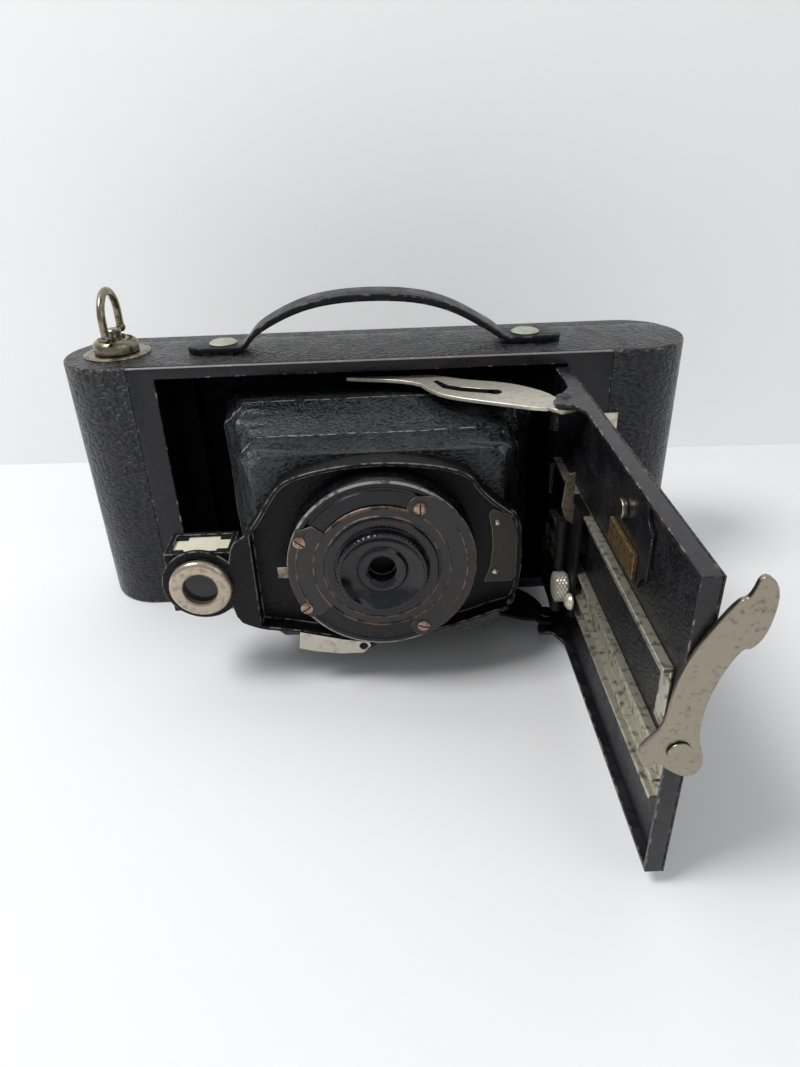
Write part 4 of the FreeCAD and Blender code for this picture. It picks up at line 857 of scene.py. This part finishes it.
# %% [markdown]
# ## Finder
# A small box with a lens in front and a ground glass on top. A nickel ring holds the lens; its rim
# is knurled so that fingers can turn the finder on its side.

# %% Finder
FIND = middle("finder_ring")
RING_PLACE = (FIND.x, corner("finder_ring", 1).y, FIND.z)
RING = [(5.2, 0.0), (9.0, 0.0), (9.2, -0.2), (9.2, -0.7), (9.2, -1.2), (9.0, -1.5), (8.3, -2.1),
        (7.9, -2.2), (5.7, -2.2), (5.2, -1.9), (5.2, 0.0)]
softened("finder_case", crackle, 0.25)
bm = turned(RING, RING_PLACE, "y", 160)
knurl(bm, RING_PLACE, "y", least=9.1, depth=0.16, teeth=80, low=-1.3, high=0)
piece(bm, "finder_ring_turned", ring_nickel, "finder", "finder_ring", smooth=30)
soften_each(
    ("finder_lens", finder_glass_shade, 0.0), ("finder_window", frosted, 0.0),
    ("finder_mirror", silvered, 0.0))

# %% Window mask
# Four black tabs leave a cross of ground glass, for upright and for wide pictures.
WINDOW_LOW, WINDOW_HIGH = corner("finder_window", 0), corner("finder_window", 1)
TAB_X, TAB_Y, TAB_HIGH = 3.4, 1.9, 0.5
INSET_X, INSET_Y = 0.6, 0.5
bm = bmesh.new()
for x in (WINDOW_LOW.x + INSET_X, WINDOW_HIGH.x - INSET_X - TAB_X):
    for y in (WINDOW_LOW.y + INSET_Y, WINDOW_HIGH.y - INSET_Y - TAB_Y):
        bar((x, y, WINDOW_HIGH.z), (x + TAB_X, y + TAB_Y, WINDOW_HIGH.z + TAB_HIGH), bm)
piece(bm, "window_mask", dull_black, "finder", slot="black_enamel")

# %% [markdown]
# ## Bed
# The bed is a pressed tray, lined inside and covered outside. It carries two rails, the foot of
# the front, a distance scale with its brown index, two braces and a leg.

# %% Bed
soften_each(
    ("bed_panel", bed_japan, 0.3), ("bed_leather", casing_leather, 0.15),
    ("bed_lining", lining_leather, 0.0), ("upper_rail", rail_nickel, 0.3),
    ("lower_rail", rail_nickel, 0.3), ("distance_scale", black_japan, 0.2),
    ("scale_pointer", old_brass, 0.25), ("scale_screw", dull_nickel, 0.3),
    ("focus_carriage", dull_black, 0.2), ("front_post", dull_black, 0.15),
    ("focus_grip", worn_nickel, 0.15), ("upper_brace", satin_nickel, 0.22),
    ("upper_brace_rivet", dull_nickel, 0.2), ("lower_brace", dull_black, 0.18),
    ("lower_brace_rivet", plain_steel, 0.2), ("leg", dull_nickel, 0.25),
    ("leg_rivet", dull_nickel, 0.2))

# %% Slot of the upper brace
# A black inlay laid on the brace's top is painted shade, for the dark seen through its slot and end
# hole.
BRACE_TOP = corner("upper_brace", 1).z
INLAY = 0.12
SLOT = [(19.6, -21.6), (22.8, -27.0), (26.8, -29.4), (36.0, -32.8), (36.0, -36.4), (26.0, -32.8),
        (21.0, -29.4), (18.4, -22.6)]
SLOT_END, SLOT_END_RADIUS = (36.6, -34.8, BRACE_TOP), 2.0
bm = slab([Vector((x, y, BRACE_TOP)) for x, y in SLOT], (0, 0, INLAY))
turned([(0, INLAY), (SLOT_END_RADIUS, INLAY), (SLOT_END_RADIUS, 0), (0, 0)], SLOT_END, "z", 32, bm)
piece(bm, "brace_slot_shade", dead_black_and_shade, "top_brace", slot="black_enamel")

# %% Rivet head on the bed's lug
LUG_HEAD = [(0, 0.6), (1.6, 0.5), (2.3, 0.1), (2.4, 0), (0, 0)]
RIVET = middle("upper_brace_rivet")
piece(turned(LUG_HEAD, (RIVET.x, RIVET.y, corner("bed_panel", 1).z), "z", 32),
      "lug_rivet_head", bed_japan, "bed", slot="black_enamel")

# %% Clamp knob
KNOB = middle("clamp_knob")
WIDE = KNOB.x - corner("clamp_knob", 0).x
KNOB_ROWS = [KNURL_PITCH * i - WIDE - 0.2 for i in range(7)]
KNOB_SHAPE = [(0, -WIDE - 0.9), (2.2, -WIDE - 0.85), (3.8, -WIDE - 0.6),
              *((4.7, row) for row in KNOB_ROWS), (4.1, WIDE), (0, WIDE)]
bm = turned(KNOB_SHAPE, KNOB, "x", 60)
knurl(bm, KNOB, "x", least=4.6, depth=0.28, teeth=15,
      low=KNOB_ROWS[0] - 0.01, high=KNOB_ROWS[-1] + 0.01)
piece(bm, "knob_knurled", satin_nickel, "focus_clamp", "clamp_knob", smooth=25)

# %% Button beside the knob
BUTTON = [(0, -2.4), (1.3, -2.2), (2.3, -1.4), (2.6, -0.5), (2.2, 0.0), (0, 0.0)]
piece(turned(BUTTON, (corner("focus_carriage", 0).x, KNOB.y - 6.6, KNOB.z - 1.2), "x", 32),
      "foot_button", satin_nickel, "bed", slot="nickel")

# %% [markdown]
# ## Room, light and camera
# A white table meets a white wall. One broad lamp hangs to the upper left, a weaker one fills from
# the right, and the sky is an even grey, so that black leather still shows its grain.

# %% Room


def card(name, colour):
    """A matt card for the room. Its back is clear, so the wall hides nothing from behind."""
    material = bpy.data.materials.new(name)
    material.use_nodes = True
    tree = material.node_tree
    shader = tree.nodes["Principled BSDF"]
    shader.inputs["Base Color"].default_value = linear(colour)
    shader.inputs["Roughness"].default_value = 0.9
    behind = add(tree, "NewGeometry").outputs["Backfacing"]
    unseen = add(tree, "BsdfTransparent").outputs["BSDF"]
    both = add(tree, "MixShader", links={0: behind, 1: shader.outputs["BSDF"], 2: unseen})
    tree.links.new(both.outputs["Shader"], tree.nodes["Material Output"].inputs["Surface"])
    return material


def sheet(name, colour, turn, place):
    """A large flat card of the room, turned and moved into place."""
    bm = bmesh.new()
    bmesh.ops.create_grid(bm, x_segments=1, y_segments=1, size=3.0)
    bmesh.ops.transform(bm, matrix=Matrix.Translation(place) @ turn, verts=bm.verts)
    thing = as_object(bm, name, card(name + " card", colour))


WALL_PLACE = (0, 0.112, 2.9)
WALL_TURN = math.radians(-2.0)
UPRIGHT = Matrix.Rotation(math.radians(90), 4, "X")
sheet("table_top", "#e4e4e5", Matrix(), (0, 0, 0))
sheet("back_wall", "#f5f5f4", Matrix.Rotation(WALL_TURN, 4, "Z") @ UPRIGHT, WALL_PLACE)

# %% Lamps
SKY_COLOUR, SKY_STRENGTH = "#f4f6fa", 0.46
world = bpy.data.worlds.new("even sky")
bpy.context.scene.world = world
world.use_nodes = True
sky = world.node_tree.nodes["Background"]
sky.inputs["Color"].default_value = linear(SKY_COLOUR)
sky.inputs["Strength"].default_value = SKY_STRENGTH


def lamp(name, place, target, size, power):
    """A square soft lamp that looks at a point; places and size in metres, power in watts."""
    light = bpy.data.lights.new(name, "AREA")
    light.size = size
    light.energy = power
    thing = bpy.data.objects.new(name, light)
    thing.location = place
    thing.rotation_euler = (Vector(target) - Vector(place)).to_track_quat("-Z", "Y").to_euler()
    bpy.context.scene.collection.objects.link(thing)


lamp("broad lamp", (-0.55, -0.25, 1.0), (0, 0, 0.03), size=0.4, power=9.0)
lamp("fill lamp", (0.8, -0.7, 0.7), (0, 0, 0.05), size=0.9, power=2.0)

# %% Camera
SENSOR_WIDTH, FOCAL_LENGTH = 36.0, 25.49
EYE_PLACE = (0.00309, -0.25689, 0.15983)
YAW, PITCH, ROLL = math.radians(0.72), math.radians(-29.41), math.radians(-2.01)
lens = bpy.data.cameras.new("camera")
lens.sensor_fit = "AUTO"
lens.sensor_width = SENSOR_WIDTH
lens.lens = FOCAL_LENGTH
eye = bpy.data.objects.new("camera", lens)
bpy.context.scene.collection.objects.link(eye)
ahead = Vector((math.sin(YAW) * math.cos(PITCH), math.cos(YAW) * math.cos(PITCH), math.sin(PITCH)))
right = Vector((math.cos(YAW), -math.sin(YAW), 0))
up = right.cross(ahead)
right_rolled = right * math.cos(ROLL) + up * math.sin(ROLL)
up_rolled = up * math.cos(ROLL) - right * math.sin(ROLL)
eye.matrix_world = Matrix.Translation(EYE_PLACE) @ Matrix(
    (right_rolled, up_rolled, -ahead)).transposed().to_4x4()
bpy.context.scene.camera = eye
bpy.context.scene.view_settings.view_transform = "Standard"
